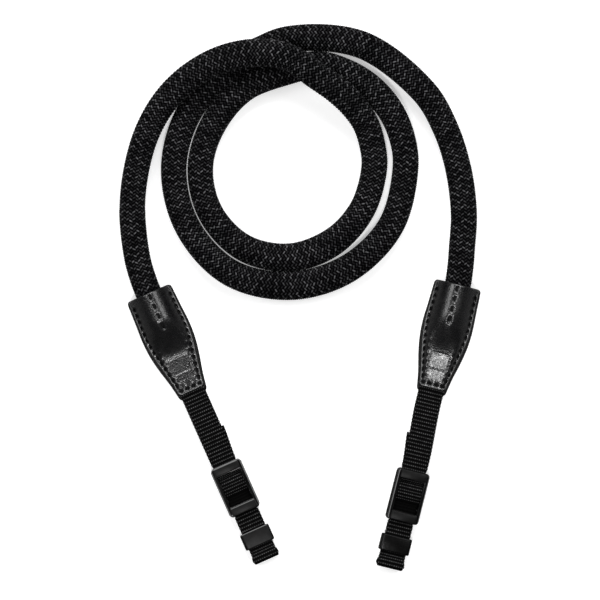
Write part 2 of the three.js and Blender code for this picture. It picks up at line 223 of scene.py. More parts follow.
class RopeSettings(bpy.types.PropertyGroup):
    """The braided rope."""

    radius: length_setting("Radius", "Radius over the crests of the braid", 0.00516)
    columns: bpy.props.IntProperty(
        name="Columns", description="Columns of floats round the rope, an even number",
        default=24, min=8, max=48)
    pitch: length_setting("Pitch", "Distance from one float to the next along a column", 0.00137)
    tilt: bpy.props.FloatProperty(
        name="Tilt", description="Slant of the floats from straight across the rope",
        default=math.radians(28), subtype="ANGLE", unit="ROTATION")
    colour: colour_setting("Yarn", "Colour of the black yarn", (0.0007, 0.0007, 0.0009))
    # The palest yarn's colour is also the painted highlight on the braid's float crests.
    fleck_sheen_colour: colour_setting("Fleck", "Colour of the palest yarn", (0.15, 0.15, 0.156))


class LeatherSettings(bpy.types.PropertyGroup):
    """The sewn leather tabs."""

    colour: colour_setting("Leather", "Colour of the front panel", (0.0030, 0.0030, 0.0034))
    lining: colour_setting("Lining", "Colour of the back panel", (0.0016, 0.0016, 0.0016))
    stitch: length_setting("Stitch", "Distance from one stitch to the next at the edge", 0.00265)
    thread: length_setting("Thread", "Thickness of the thread", 0.00058)


class WebbingSettings(bpy.types.PropertyGroup):
    """The ribbed webbing."""

    colour: colour_setting("Webbing", "Colour of the webbing", (0.010, 0.010, 0.010))
    rib: length_setting("Rib", "Distance from one rib to the next", 0.00145)
    warps: bpy.props.IntProperty(
        name="Warps", description="Warp ends across the webbing", default=12, min=5, max=31)


class PlasticSettings(bpy.types.PropertyGroup):
    """The moulded sliders and keepers."""

    colour: colour_setting("Plastic", "Colour of the plastic", (0.0018, 0.0018, 0.0018))
    bevel: length_setting("Edge", "Radius of the moulded edges", 0.0004)


# ---- arithmetic ----

def smoothstep(value, low, high):
    share = np.clip((np.asarray(value, float) - low) / (high - low), 0, 1)
    return share * share * (3 - 2 * share)


def lerp(low, high, share):
    return low + (high - low) * share


def column(rows, name, at):
    """Values of a table's column at distances, on a smooth curve through its rows."""
    stations = np.array([row["at"] for row in rows])
    values = np.array([row[name] for row in rows])
    slopes = np.gradient(values, stations)
    at = np.clip(at, stations[0], stations[-1])
    i = np.clip(np.searchsorted(stations, at) - 1, 0, len(stations) - 2)
    span = stations[i + 1] - stations[i]
    t = (at - stations[i]) / span
    stay = (1 + 2 * t) * (1 - t) ** 2
    lead = t * (1 - t) ** 2 * span * slopes[i]
    trail = t * t * (t - 1) * span * slopes[i + 1]
    return stay * values[i] + lead + (1 - stay) * values[i + 1] + trail


def between(value, rise, fall):
    """1 from one stretch to another, blended over both, and 0 outside them."""
    return smoothstep(value, *rise) * (1 - smoothstep(value, *fall))


def unit(vectors):
    return vectors / np.linalg.norm(vectors, axis=-1, keepdims=True)


def lengths_along(line):
    """How far along a line each of its points is."""
    return np.r_[0, np.cumsum(np.linalg.norm(np.diff(line, axis=0), axis=1))]


def points_at(line, lengths, at):
    """Points of a line at distances along it."""
    return np.column_stack([np.interp(at, lengths, values) for values in line.T])


def end_matrix(side):
    """Place of an end's own frame: x runs down the strap from the mouth, y is across, z is up."""
    joint = next(j for j in frame["joints"] if j["child"] == f"keeper_{side}")
    mount = next(m for m in RECORD["mounts"] if m["name"] == f"rest_{side}")
    along = Vector(joint["axis"]).normalized()
    across = Vector((0, 0, 1)).cross(along)
    mouth = Vector(mount["pos_m"]) - along * REST_FROM_MOUTH
    return Matrix.Translation(mouth) @ Matrix((along, across, (0, 0, 1))).transposed().to_4x4()


def rigid_matrix(side, x, below):
    """Place of a hard piece on the strap's line, at the roll that its end lies at."""
    end = ENDS[side]
    roll = math.radians(end["roll"])
    y = end["drift"] + below * math.sin(roll)
    z = WEB_LEVEL + end["lift"] - below * math.cos(roll)
    return end_matrix(side) @ Matrix.Translation((x, y, z)) @ Matrix.Rotation(roll, 4, "X")


def moved(matrix, places):
    """Places turned and moved by a matrix."""
    matrix = np.array(matrix)
    return places @ matrix[:3, :3].T + matrix[:3, 3]


# ---- meshes ----

TOUCHING = 1e-7  # points nearer than this are one


def mesh_from(name, bm):
    mesh = bpy.data.meshes.new(name)
    bm.to_mesh(mesh)
    bm.free()
    return mesh


def add_object(name, data):
    made = bpy.data.objects.new(name, data)
    bpy.context.scene.collection.objects.link(made)
    return made


def piece_from(name, bm, matrix, material, node=None, body="strap"):
    """Named piece at a place on a body, smooth all over, for a material slot and in a node's place."""
    bm.transform(matrix)
    mesh = mesh_from(name, bm)
    mesh.shade_smooth()
    mesh.materials.append(material)
    piece = add_object(name, mesh)
    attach(piece, body)
    if node:
        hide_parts(node)
    return piece


def warped_grid(columns, rows, place, pattern):
    """Closed skin from a grid: its points go where place says, its UV map is what pattern says.

    Both take each point's share of the way across the columns and along the rows. The seam and the
    poles that this leaves are merged, and the faces turned outwards."""
    bm = bmesh.new()
    bm.loops.layers.uv.new(UV)
    bmesh.ops.create_grid(bm, x_segments=columns, y_segments=rows, size=0.5, calc_uvs=True)
    mesh = bpy.data.meshes.new("sheet")
    bm.to_mesh(mesh)
    flat = np.empty(len(mesh.vertices) * 3)
    mesh.vertices.foreach_get("co", flat)
    across, along = flat.reshape(-1, 3)[:, 0] + 0.5, flat.reshape(-1, 3)[:, 1] + 0.5
    mesh.vertices.foreach_set("co", place(across, along).ravel())
    corners = np.empty(len(mesh.loops), int)
    mesh.loops.foreach_get("vertex_index", corners)
    uvs = np.column_stack(pattern(across, along))[corners]
    mesh.uv_layers[UV].data.foreach_set("uv", uvs.ravel())
    bm.clear()
    bm.from_mesh(mesh)
    bpy.data.meshes.remove(mesh)
    bmesh.ops.remove_doubles(bm, verts=bm.verts, dist=TOUCHING)
    bmesh.ops.dissolve_degenerate(bm, edges=bm.edges, dist=TOUCHING)
    bmesh.ops.recalc_face_normals(bm, faces=bm.faces)
    return bm


# ---- shader helpers ----

def put(tree, value, socket):
    """Links a socket's value, or sets it where it is plain."""
    if isinstance(value, bpy.types.NodeSocket):
        tree.links.new(value, socket)
    else:
        socket.default_value = value


def feed(tree, node, *values, **named):
    """Puts values on a node's first inputs, and on inputs by name with _ for a space."""
    for socket, value in zip(node.inputs, values):
        put(tree, value, socket)
    for label, value in named.items():
        put(tree, value, node.inputs[label.replace("_", " ")])
    return node


def add_node(tree, kind, *values, **named):
    return feed(tree, tree.nodes.new(f"ShaderNode{kind}"), *values, **named)


def calc(tree, operation, *values):
    node = add_node(tree, "Math")
    node.operation = operation
    return feed(tree, node, *values).outputs[0]


def product(tree, first, *others):
    for other in others:
        first = calc(tree, "MULTIPLY", first, other)
    return first


def wave(tree, value):
    """0 where the value is whole, rising to 1 halfway between."""
    return calc(tree, "ABSOLUTE", calc(tree, "SINE", product(tree, value, math.pi)))


def mix_colour(tree, share, low, high):
    node = add_node(tree, "Mix", share)
    node.data_type = "RGBA"
    put(tree, low, node.inputs[6])
    put(tree, high, node.inputs[7])
    return node.outputs[2]


def ramp(tree, value, low, high, to_low=0.0, to_high=1.0):
    """Value spread from one range to another, held at its ends."""
    node = add_node(tree, "MapRange", value, low, high, to_low, to_high)
    node.interpolation_type = "SMOOTHSTEP"
    return node.outputs[0]


def noise(tree, vector, scale, detail=2.0):
    return add_node(tree, "TexNoise", Vector=vector, Scale=scale, Detail=detail).outputs["Fac"]


def cell_random(tree, x, y):
    """A random number for each cell of a pattern."""
    return add_node(tree, "TexWhiteNoise", Vector=combined(tree, x, y)).outputs["Value"]


def combined(tree, x, y, z=0.0):
    return add_node(tree, "CombineXYZ", x, y, z).outputs[0]


def separated(tree, vector):
    return add_node(tree, "SeparateXYZ", vector).outputs


def new_group(name, inputs, outputs):
    """Empty shader group with named sockets: returns it, its inputs by name and its end's sockets."""
    tree = bpy.data.node_groups.new(name, "ShaderNodeTree")
    for in_out, sockets in (("INPUT", inputs), ("OUTPUT", outputs)):
        for label, kind in sockets.items():
            tree.interface.new_socket(name=label, in_out=in_out, socket_type=f"NodeSocket{kind}")
    return tree, tree.nodes.new("NodeGroupInput").outputs, tree.nodes.new("NodeGroupOutput").inputs


def use_group(tree, group, **named):
    """Places a group in a material and returns its outputs."""
    node = add_node(tree, "Group")
    node.node_tree = group
    return feed(tree, node, **named).outputs


def new_material(name, **numbers):
    """Material whose shader has its plain numbers set: returns it, its tree and its shader."""
    material = bpy.data.materials.new(name)
    material.use_nodes = True
    tree = material.node_tree
    return material, tree, feed(tree, tree.nodes["Principled BSDF"], **numbers)


def object_places(tree):
    return add_node(tree, "TexCoord").outputs["Object"]


def pattern_places(tree):
    node = add_node(tree, "UVMap")
    node.uv_map = UV
    return node.outputs["UV"]


def bumped(tree, height, distance):
    return add_node(tree, "Bump", Distance=distance, Height=height).outputs["Normal"]


def by_ray(tree, ray, chosen, other, surface):
    """Shows one shader to a kind of ray, and another to all the rest."""
    seen = add_node(tree, "LightPath").outputs[ray]
    either = add_node(tree, "MixShader", seen, other.outputs[0], chosen.outputs[0])
    put(tree, either.outputs[0], surface.inputs["Surface"])


def opaque(colour, share=1):
    """Colour with its alpha, as bright as a share says."""
    return (*(share * c for c in colour), 1.0)


def grey(level):
    return (level, level, level, 1.0)


# ---- shared effects ----

def braid_group():
    """Yarns of a braid: every other float of a column pale, each its own shade, and its fibres. The
    paleness is a painted highlight on each float's crest; the valleys and column edges get painted
    shade.

    The pattern's x counts columns round the rope and its y counts floats along a column."""
    tree, given, out = new_group(
        "braided_yarns",
        {"Pattern": "Vector", "Yarn": "Color", "Fleck": "Color", "Share": "Float", "Dark": "Float"},
        {"Color": "Color", "Height": "Float", "Fleck and sheen mask": "Float"})
    x, y, _ = separated(tree, given["Pattern"])
    lane = calc(tree, "FLOOR", x)
    parity = calc(tree, "MODULO", lane, 2.0)
    height = calc(tree, "ADD", calc(tree, "MULTIPLY_ADD", parity, 0.5, y), 0.5)
    row = calc(tree, "FLOOR", height)
    shade = cell_random(tree, lane, row)
    fibre = noise(tree, combined(tree, product(tree, x, 1.5), product(tree, y, 11.0), shade), 1.0)
    swapped = calc(tree, "COMPARE", calc(tree, "MODULO", lane, 4.0), 3.0, 0.5)
    other = calc(tree, "MODULO", calc(tree, "ADD", row, swapped), 2.0)
    # Painted highlight on each float's crest, fading to painted shade in the valleys between floats and
    # at the edges of each column.
    fleck_and_sheen = product(
        tree,
        ramp(tree, shade, calc(tree, "SUBTRACT", 1.0, given["Share"]), 1.0, 0.25, 1.0),
        ramp(tree, other, 0.0, 1.0, 1.0, given["Dark"]),
        calc(tree, "POWER", wave(tree, calc(tree, "SUBTRACT", x, lane)), 0.5),
        calc(tree, "POWER", wave(tree, height), 5.5),
        ramp(tree, fibre, 0.35, 0.62, 0.35, 1.1))
    put(tree, mix_colour(tree, fleck_and_sheen, given["Yarn"], given["Fleck"]), out["Color"])
    put(tree, fibre, out["Height"])
    put(tree, fleck_and_sheen, out["Fleck and sheen mask"])
    return tree


def grain_group():
    """Leather grain: pebbles and fine cells under a slow unevenness."""
    tree, given, out = new_group(
        "leather_grain", {"Vector": "Vector"}, {"Height": "Float", "Unevenness": "Float"})
    places = given["Vector"]
    cells = add_node(tree, "TexVoronoi", Vector=places, Scale=2400.0)
    cells.feature = "SMOOTH_F1"
    pebble = noise(tree, places, 1900.0, 1.0)
    grain = calc(tree, "MULTIPLY_ADD", cells.outputs["Distance"], 0.12, pebble)
    grain = calc(tree, "MULTIPLY_ADD", noise(tree, places, 5200.0, 3.0), 0.05, grain)
    put(tree, grain, out["Height"])
    put(tree, noise(tree, places, 160.0, 3.0), out["Unevenness"])
    return tree


def dust_group():
    """Sparse pale specks and lint of a thing that has been handled."""
    tree, given, out = new_group(
        "dust",
        {"Vector": "Vector", "Color": "Color", "Dust": "Color", "Amount": "Float"},
        {"Color": "Color", "Mask": "Float"})
    film = ramp(tree, noise(tree, given["Vector"], 420.0, 4.0), 0.45, 0.8)
    speck = ramp(tree, noise(tree, given["Vector"], 3100.0, 1.0), 0.66, 0.76)
    mask = product(tree, calc(tree, "MULTIPLY_ADD", film, 0.3, speck), given["Amount"])
    put(tree, mix_colour(tree, mask, given["Color"], given["Dust"]), out["Color"])
    put(tree, mask, out["Mask"])
    return tree


# ---- stage ----

# Direction and distance from the strap, width and height, and power.
LIGHTS = table(
    "name from away size power",
    ("top_key", (0.0, 0.95, 1.0), 1.6, (1.0, 0.4), 16),
    ("top_rim", (0.0, 1.0, 0.5), 1.5, (1.4, 0.3), 7),
    ("side_right", (1.0, 0.48, 1.10), 1.6, (0.85, 0.85), 9.5),
    ("side_left", (-1.0, 0.26, 1.10), 1.6, (0.85, 0.85), 9.5),
    ("foot_glow", (-0.02, -0.29, 1.0), 1.5, (0.26, 0.14), 8),
)
TABLE_IN_GLOSS = 0.14  # how bright the table looks in glossy surfaces, against its full brightness
WORLD_GLOW = 0.06  # light from all round, which the camera doesn't see
FLOOR_REACH = 3.0
FLOOR_DROP = 0.00005  # keeps the floor clear of what lies on it
AIM_DROP = 0.0009  # the camera looks this far below the middle of the box
SENSOR = 36  # the camera's, in millimetres


def build_stage(settings):
    scene = bpy.context.scene
    scene.view_settings.view_transform = "Standard"
    low, high = CAD_BOX
    middle = (low + high) / 2

    camera = bpy.data.cameras.new("camera")
    camera.sensor_width = SENSOR
    camera.lens = SENSOR * settings.camera_height / settings.view_width
    camera.clip_end = 4 * settings.camera_height
    scene.camera = add_object("camera", camera)
    scene.camera.location = (middle.x, middle.y - AIM_DROP, settings.camera_height)

    bm = bmesh.new()
    bmesh.ops.create_grid(bm, x_segments=2, y_segments=2, size=FLOOR_REACH)
    floor = add_object("floor", mesh_from("floor", bm))
    floor.location.z = low.z - FLOOR_DROP
    material, tree, shader = new_material(
        "pale_floor", Roughness=0.9, Specular_IOR_Level=0.1, Base_Color=opaque(settings.floor_colour),
        Emission_Color=grey(1), Emission_Strength=settings.table_glow)
    muted = add_node(tree, "BsdfDiffuse", opaque(settings.floor_colour, TABLE_IN_GLOSS))
    by_ray(tree, "Is Glossy Ray", muted, shader, tree.nodes["Material Output"])
    floor.data.materials.append(material)

    for row in LIGHTS:
        light = bpy.data.lights.new(row["name"], "AREA")
        light.shape = "RECTANGLE"
        light.size, light.size_y = row["size"]
        light.energy = row["power"]
        lamp = add_object(row["name"], light)
        away = Vector(row["from"]).normalized()
        lamp.location = middle + away * row["away"]
        lamp.rotation_euler = away.to_track_quat("Z", "Y").to_euler()
        lamp.visible_camera = False

    world = bpy.data.worlds.new("studio")
    world.use_nodes = True
    scene.world = world
    tree = world.node_tree
    pale = feed(tree, tree.nodes["Background"], Color=(0.93, 0.93, 0.94, 1), Strength=1.0)
    dim = add_node(tree, "Background", grey(1), WORLD_GLOW)
    by_ray(tree, "Is Camera Ray", pale, dim, tree.nodes["World Output"])


# ---- rope ----

CORE = {"radius": 0.0042, "points": 20, "step": 0.002}
SHEATH_STRETCHES = 3  # stretches that the braided sheath is built in; each under the limit on a piece's triangles
ROUND_POINTS = 4  # points round the rope in each column
FLOAT_ROWS = 4  # rows along a float: crest, flank, valley, flank
VALLEY = 0.00038  # how far the rope dips between one float and the next
COLUMN_DIP = 0.00030  # how far a column's edges lie below its middle
COLUMN_POWER = 2.2  # shape of a column's section: higher is flatter in the middle
ROUTE_STEP = 0.00025


def rope_half_height(x):
    """Half the rope's height at a distance into the tab, where it is sewn ever flatter."""
    outside = lerp(ROPE_RADIUS, MOUTH_HALF_HEIGHT, smoothstep(x, -SQUEEZE_RUN, 0))
    inside = lerp(MOUTH_HALF_HEIGHT, TAIL_HALF_HEIGHT, np.minimum(np.asarray(x) / ROPE_TAIL, 1))
    return np.where(np.asarray(x) < 0, outside, inside)


def rope_level(x):
    return rope_half_height(x) + (LEATHER + GAP) * smoothstep(x, -SQUEEZE_RUN, -CLIMBED)


def route_points():
    """The points that the rope passes through, from inside the left tab to inside the right one."""
    def entry(side):
        local = np.array([(p["x"], p["y"], rope_level(p["x"])) for p in ENTRIES[side]])
        return moved(end_matrix(side), local)

    coil = [(
        COIL_CENTRE[0] + row["out"] * math.sin(math.radians(row["turn"])),
        COIL_CENTRE[1] + row["out"] * math.cos(math.radians(row["turn"])),
        ROPE_RADIUS + row["rise"],
    ) for row in COIL]
    return np.vstack([entry("left")[::-1], coil, entry("right")])


def smooth_curve(points, steps=60):
    """Centripetal Catmull-Rom curve through points."""
    padded = np.vstack([2 * points[0] - points[1], points, 2 * points[-1] - points[-2]])
    spans = np.sqrt(np.linalg.norm(np.diff(padded, axis=0), axis=1))
    t = np.linspace(0, 1, steps, endpoint=False)[:, None]
    stretches = []
    for i in range(len(points) - 1):
        before, start, stop, after = padded[i:i + 4]
        a, b, c = spans[i:i + 3]
        leave = ((start - before) / a - (stop - before) / (a + b) + (stop - start) / b) * b
        reach = ((stop - start) / b - (after - start) / (b + c) + (after - stop) / c) * b
        square = -3 * start + 3 * stop - 2 * leave - reach
        cube = 2 * start - 2 * stop + leave + reach
        stretches.append(start + leave * t + square * t ** 2 + cube * t ** 3)
    return np.vstack([*stretches, points[-1:]])


class Route:
    """The rope's middle line, measured along itself, with the sideways and upward directions."""

    def __init__(self):
        line = smooth_curve(route_points())
        lengths = lengths_along(line)
        self.length = lengths[-1]
        self.stations = np.linspace(0, self.length, int(self.length / ROUTE_STEP))
        self.line = points_at(line, lengths, self.stations)
        tangents = unit(np.gradient(self.line, axis=0))
        self.side = unit(np.cross((0, 0, 1), tangents))
        self.up = np.cross(tangents, self.side)
        self.side = self.side * self.broadening()[:, None]

    def broadening(self):
        """How much broader than round the rope lies, by how far it has turned about the coil."""
        x, y = (self.line[:, :2] - COIL_CENTRE).T
        turn = np.degrees(np.unwrap(np.arctan2(x, y)))
        turn += 360 * round((COIL[0]["turn"] - turn[0]) / 360)
        inside = (turn > COIL[1]["turn"]) & (turn < COIL[-2]["turn"])
        return np.where(inside, column(BREADTH, "share", turn % 360), 1)

    def place(self, s, turn, radius):
        """Places on the rope's surface: distance along, angle round from sideways, and radius."""
        s = np.clip(s, 0, self.length)
        middle, side, up = (
            points_at(values, self.stations, s) for values in (self.line, self.side, self.up))
        out = side * np.cos(turn)[:, None] + up * np.sin(turn)[:, None]
        return squeezed(middle + out * radius[:, None])


def squeezed(places):
    """Flattens the rope where it nears a tab and inside it, and keeps it above the floor."""
    for side in SIDES:
        matrix = end_matrix(side)
        local = moved(matrix.inverted(), places)
        near = (local[:, 0] > -SQUEEZE_RUN) & (local[:, 0] < LIFT_RUN)
        near &= np.abs(local[:, 1]) < 2 * ROPE_RADIUS
        level = rope_level(local[:, 0])
        flat = level + (places[:, 2] - level) * rope_half_height(local[:, 0]) / ROPE_RADIUS
        places[:, 2] = np.where(near, flat, places[:, 2])
    places[:, 2] = np.maximum(places[:, 2], 0)
    return places


def braid_radius(settings, lane, row):
    """Radius of the braid at a column position and a row of its lattice."""
    edge = np.abs(lane % 1 - 0.5) * 2
    beat = 2 * math.pi * (row / FLOAT_ROWS + 0.5 * (np.floor(lane) % 2))
    valley = VALLEY * (0.5 - 0.5 * np.cos(beat))
    valley = np.where(edge == 1, 0.5 * VALLEY, valley)
    return settings.radius - COLUMN_DIP * edge ** COLUMN_POWER - valley


def column_width(settings):
    return 2 * math.pi * settings.radius / settings.columns


def braid_stretch(route, settings, first, last):
    """One stretch of the braided sheath between two rows of its lattice, closed at both ends."""
    rows = last - first + 2  # a pole at each end
    width = column_width(settings)

    def lattice(across, along):
        lane = np.round(across * settings.columns * ROUND_POINTS) / ROUND_POINTS
        step = np.round(along * rows).astype(int)
        row = np.clip(step - 1, 0, rows - 2) + first
        return lane, row, (step == 0) | (step == rows)

    def place(across, along):
        lane, row, pole = lattice(across, along)
        zigzag = np.where(lane % 2 < 1, lane % 2, 2 - lane % 2)
        zigzag = np.where(pole, 0.5, zigzag)
        s = row * settings.pitch / FLOAT_ROWS + math.tan(settings.tilt) * width * zigzag
        radius = np.where(pole, 0, braid_radius(settings, lane % settings.columns, row))
        turn = 2 * math.pi * lane / settings.columns
        return route.place(s, np.where(pole, 0, turn), radius)

    def pattern(across, along):
        lane, row, _ = lattice(across, along)
        return lane, row / FLOAT_ROWS

    return warped_grid(settings.columns * ROUND_POINTS, rows, place, pattern)


def core_mesh(route):
    """The rope's core: a plain round bundle under the sheath."""
    rows = int(route.length / CORE["step"])

    def place(across, along):
        step = np.round(along * rows)
        pole = (step == 0) | (step == rows)
        turn = np.where(pole, 0, 2 * math.pi * across)
        return route.place(along * route.length, turn, np.where(pole, 0, CORE["radius"]))

    return warped_grid(CORE["points"], rows, place, lambda across, along: (across, along))


def sheath_material(settings, group):
    material, tree, shader = new_material("braided_sheath", Specular_IOR_Level=0.005)
    yarns = use_group(
        tree, group, Pattern=pattern_places(tree), Yarn=opaque(settings.colour),
        Fleck=opaque(settings.fleck_sheen_colour), Share=0.95, Dark=0.28)
    wear_and_glint = ramp(tree, noise(tree, object_places(tree), 90.0), 0.3, 0.7, 0.75, 1.1)
    shade = add_node(tree, "VectorMath")
    shade.operation = "SCALE"
    feed(tree, shade, yarns["Color"], Scale=wear_and_glint)
    feed(
        tree, shader, Base_Color=shade.outputs[0],
        Roughness=ramp(tree, yarns["Fleck and sheen mask"], 0.0, 1.0, 0.75, 0.5),
        Normal=bumped(tree, yarns["Height"], 0.00006))
    return material


def core_material():
    material, tree, shader = new_material("rope_core", Roughness=0.8)
    fibre = noise(tree, object_places(tree), 900.0, 3.0)
    feed(tree, shader, Base_Color=mix_colour(tree, fibre, grey(0.01), grey(0.03)))
    return material


def build_rope(settings):
    route = Route()
    rest = Matrix.Identity(4)
    core = piece_from("rope_core", core_mesh(route), rest, core_material(), "rope")
    material = sheath_material(settings, braid_group())
    slack = math.tan(settings.tilt) * column_width(settings)
    count = int((route.length - slack) / settings.pitch) // SHEATH_STRETCHES * FLOAT_ROWS
    stretches = [
        piece_from(
            f"rope_sheath_{i + 1}", braid_stretch(route, settings, i * count, (i + 1) * count), rest,
            material, "rope")
        for i in range(SHEATH_STRETCHES)]
    rope_level(0.0)


# ---- leather tabs ----

PANELS = {"front": (110, 220), "back": (40, 100)}  # points across and along
EDGE_ROUND = 0.0006  # radius that the panels' cut edges are burnished to
EDGE_POWER = 2.4  # shape of those edges: 2 would be a plain round
EDGE_CROWDING = 0.13  # draws a panel's points closer together towards its edges
GROOVE = {"depth": 0.00012, "half": 0.0006}  # hollow that the seam presses into the leather
PIT = {"depth": 0.00062, "along": 0.00068, "across": 0.00044}  # hollow under one edge stitch
# Fans between the stitches, and how far they reach on each side of the seam.
PUCKER = {"height": 0.00020, "inward": 0.0014, "outward": 0.00056}
STITCH_SLANT = -18  # degrees that each edge stitch leans off the seam
CENTRE_SEAM = {"first": 0.0020, "pitch": 0.0040, "count": 4, "reach": 0.0022, "blend": 0.001,
               "stitch": 0.0022, "thicker": 1.2}
CENTRE_PIT = {"depth": 0.00065, "along": 0.00125, "across": 0.00062}
CENTRE_GROOVE = {"depth": 0.00010, "half": 0.0009}
SEAM_START = 0.0024
SEAM_POINTS = {"stitches": 400, "relief": 320}  # down each side, for what is taken from the seam
# One stitch: facets round and along it, how blunt its ends are, how far they dip, the share of its
# length over which it follows the leather's slope, and how far it stands out; in its own sizes.
STITCH = {"facets": (10, 9), "blunt": 0.8, "dip": 0.55, "follow": 0.3, "proud": 0.1}
FOOT_SEAM = 0.0397  # the seam across the foot, from the mouth
PLATE = {"at": 0.0305, "length": 0.0062, "width": 0.0078, "corner": 0.0012, "line": 0.00022,
         "depth": 0.00013}


def half_width(x, length, inset_share):
    """Half width of a panel, with its corners rounded at the mouth and at the foot."""
    def cut(distance, corner):
        missing = np.clip(corner - distance, 0, corner)
        return corner - np.sqrt(corner ** 2 - missing ** 2)

    outline = column(TAB_OUTLINE, "half", x) - inset_share * column(TAB_OUTLINE, "inset", x)
    return outline - cut(x, MOUTH_CORNER) - cut(length - x, FOOT_CORNER)


def curl(x, y):
    """Height of the back panel's underside: flat at the foot, curled up beside the rope."""
    return EDGE_LIFT * (1 - smoothstep(x, 0, LIFT_RUN)) * (y / TAB_OUTLINE[0]["half"]) ** 2


def seam_half(x):
    """Distance of the edge seam from the tab's middle line."""
    return column(TAB_OUTLINE, "half", x) - column(TAB_OUTLINE, "margin", x)


def ridge(x, knee):
    """Height of the bulge along its middle: level over the rope, then a fall to a gentle slope."""
    run = FRONT_LENGTH - RIDGE["fall"][1]
    gentle = lerp(knee, RIDGE["foot"], (x - RIDGE["fall"][1]) / run)
    return lerp(RIDGE["mouth"], gentle, smoothstep(x, *RIDGE["fall"]))


def bulge(x, y, knee):
    """Height of the front panel's bulge over the rope and the webbing, above its flat margin."""
    share = np.minimum(np.abs(y) / (seam_half(x) + SECTION["past_seam"]), 1)
    dome = (1 - share ** 2) ** SECTION["dome"]
    crown = 1 - share ** SECTION["crown"]
    edge = WEB_WIDTH / 2 + SECTION["past_webbing"]
    flat = 1 - smoothstep(np.abs(y), edge, edge + SECTION["step"])
    profile = lerp(dome, crown, smoothstep(x, *SECTION["squaring"]))
    return ridge(x, knee) * lerp(profile, flat, smoothstep(x, *SECTION["flattening"]))


def seam_line(steps):
    """Points of the edge seam: down one side, across the foot and up the other side."""
    x = np.linspace(SEAM_START, FOOT_SEAM, steps)
    y = seam_half(x)
    foot = np.linspace(y[-1], -y[-1], steps // 6)[1:-1]
    return np.column_stack([
        np.r_[x, np.full(len(foot), FOOT_SEAM), x[::-1]],
        np.r_[y, foot, -y[::-1]],
    ])


def seam_stitches(pitch):
    """Middle and direction of each stitch of the edge seam, slanted off it."""
    line = seam_line(SEAM_POINTS["stitches"])
    lengths = lengths_along(line)
    count = round(lengths[-1] / pitch)
    at = (np.arange(count) + 0.5) * lengths[-1] / count
    step = pitch / 4
    run = unit(points_at(line, lengths, at + step) - points_at(line, lengths, at - step))
    lean = math.radians(STITCH_SLANT)
    turn = np.array([[math.cos(lean), math.sin(lean)], [-math.sin(lean), math.cos(lean)]])
    return points_at(line, lengths, at), run @ turn


def centre_stitches():
    x = CENTRE_SEAM["first"] + CENTRE_SEAM["pitch"] * np.arange(CENTRE_SEAM["count"])
    return np.column_stack([x, np.zeros(len(x))]), np.tile((1.0, 0.0), (len(x), 1))


def pits(x, y, stitches, pit):
    """Depth of the hollows under a row of stitches."""
    depth = np.zeros(len(x))
    for middle, direction in zip(*stitches):
        dx, dy = x - middle[0], y - middle[1]
        along = dx * direction[0] + dy * direction[1]
        across = dy * direction[0] - dx * direction[1]
        near = (along / pit["along"]) ** 4 + (across / pit["across"]) ** 2
        depth = np.maximum(depth, pit["depth"] * np.exp(-near))
    return depth


def seam_relief(x, y, pitch):
    """Groove along the edge seam, and the puckers that fan inwards between its stitches."""
    line = seam_line(SEAM_POINTS["relief"])
    lengths = lengths_along(line)
    gaps = (x[:, None] - line[:, 0]) ** 2 + (y[:, None] - line[:, 1]) ** 2
    nearest = gaps.argmin(axis=1)
    distance = np.sqrt(gaps[np.arange(len(x)), nearest])
    inside = (np.abs(y) < seam_half(x)) & (x < FOOT_SEAM)
    beat = np.cos(2 * math.pi * (lengths[nearest] / lengths[-1] * round(lengths[-1] / pitch) - 0.5))
    fan = np.exp(-(distance / np.where(inside, PUCKER["inward"], PUCKER["outward"])) ** 2)
    return GROOVE["depth"] * np.exp(-(distance / GROOVE["half"]) ** 2) + PUCKER["height"] * fan * beat


def plate_depth(x, y):
    """Depth of the plain pressed outline below the bulge."""
    dx = np.abs(x - PLATE["at"]) - PLATE["length"] / 2 + PLATE["corner"]
    dy = np.abs(y) - PLATE["width"] / 2 + PLATE["corner"]
    outside = np.hypot(np.maximum(dx, 0), np.maximum(dy, 0)) + np.minimum(np.maximum(dx, dy), 0)
    return PLATE["depth"] * np.exp(-((outside - PLATE["corner"]) / PLATE["line"]) ** 2)


def front_middle(x, y, knee):
    """Height of the middle of the front panel's leather, before its seams are sewn."""
    return curl(x, y) + 1.5 * LEATHER + GAP + bulge(x, y, knee)


def front_dents(x, y, pitch):
    """How far the seams and the pressed outline lower the front panel's face."""
    dents = seam_relief(x, y, pitch) + pits(x, y, seam_stitches(pitch), PIT)
    middles, directions = centre_stitches()
    start = middles[0, 0] - CENTRE_SEAM["reach"]
    stop = middles[-1, 0] + CENTRE_SEAM["reach"]
    blend = CENTRE_SEAM["blend"]
    along = between(x, (start - blend, start + blend), (stop - blend, stop + blend))
    dents += CENTRE_GROOVE["depth"] * along * np.exp(-(y / CENTRE_GROOVE["half"]) ** 2)
    dents += pits(x, y, (middles, directions), CENTRE_PIT)
    return dents + plate_depth(x, y)


def front_face(x, y, pitch, knee):
    """Height of the front panel's sewn face."""
    return front_middle(x, y, knee) + LEATHER / 2 - front_dents(x, y, pitch)


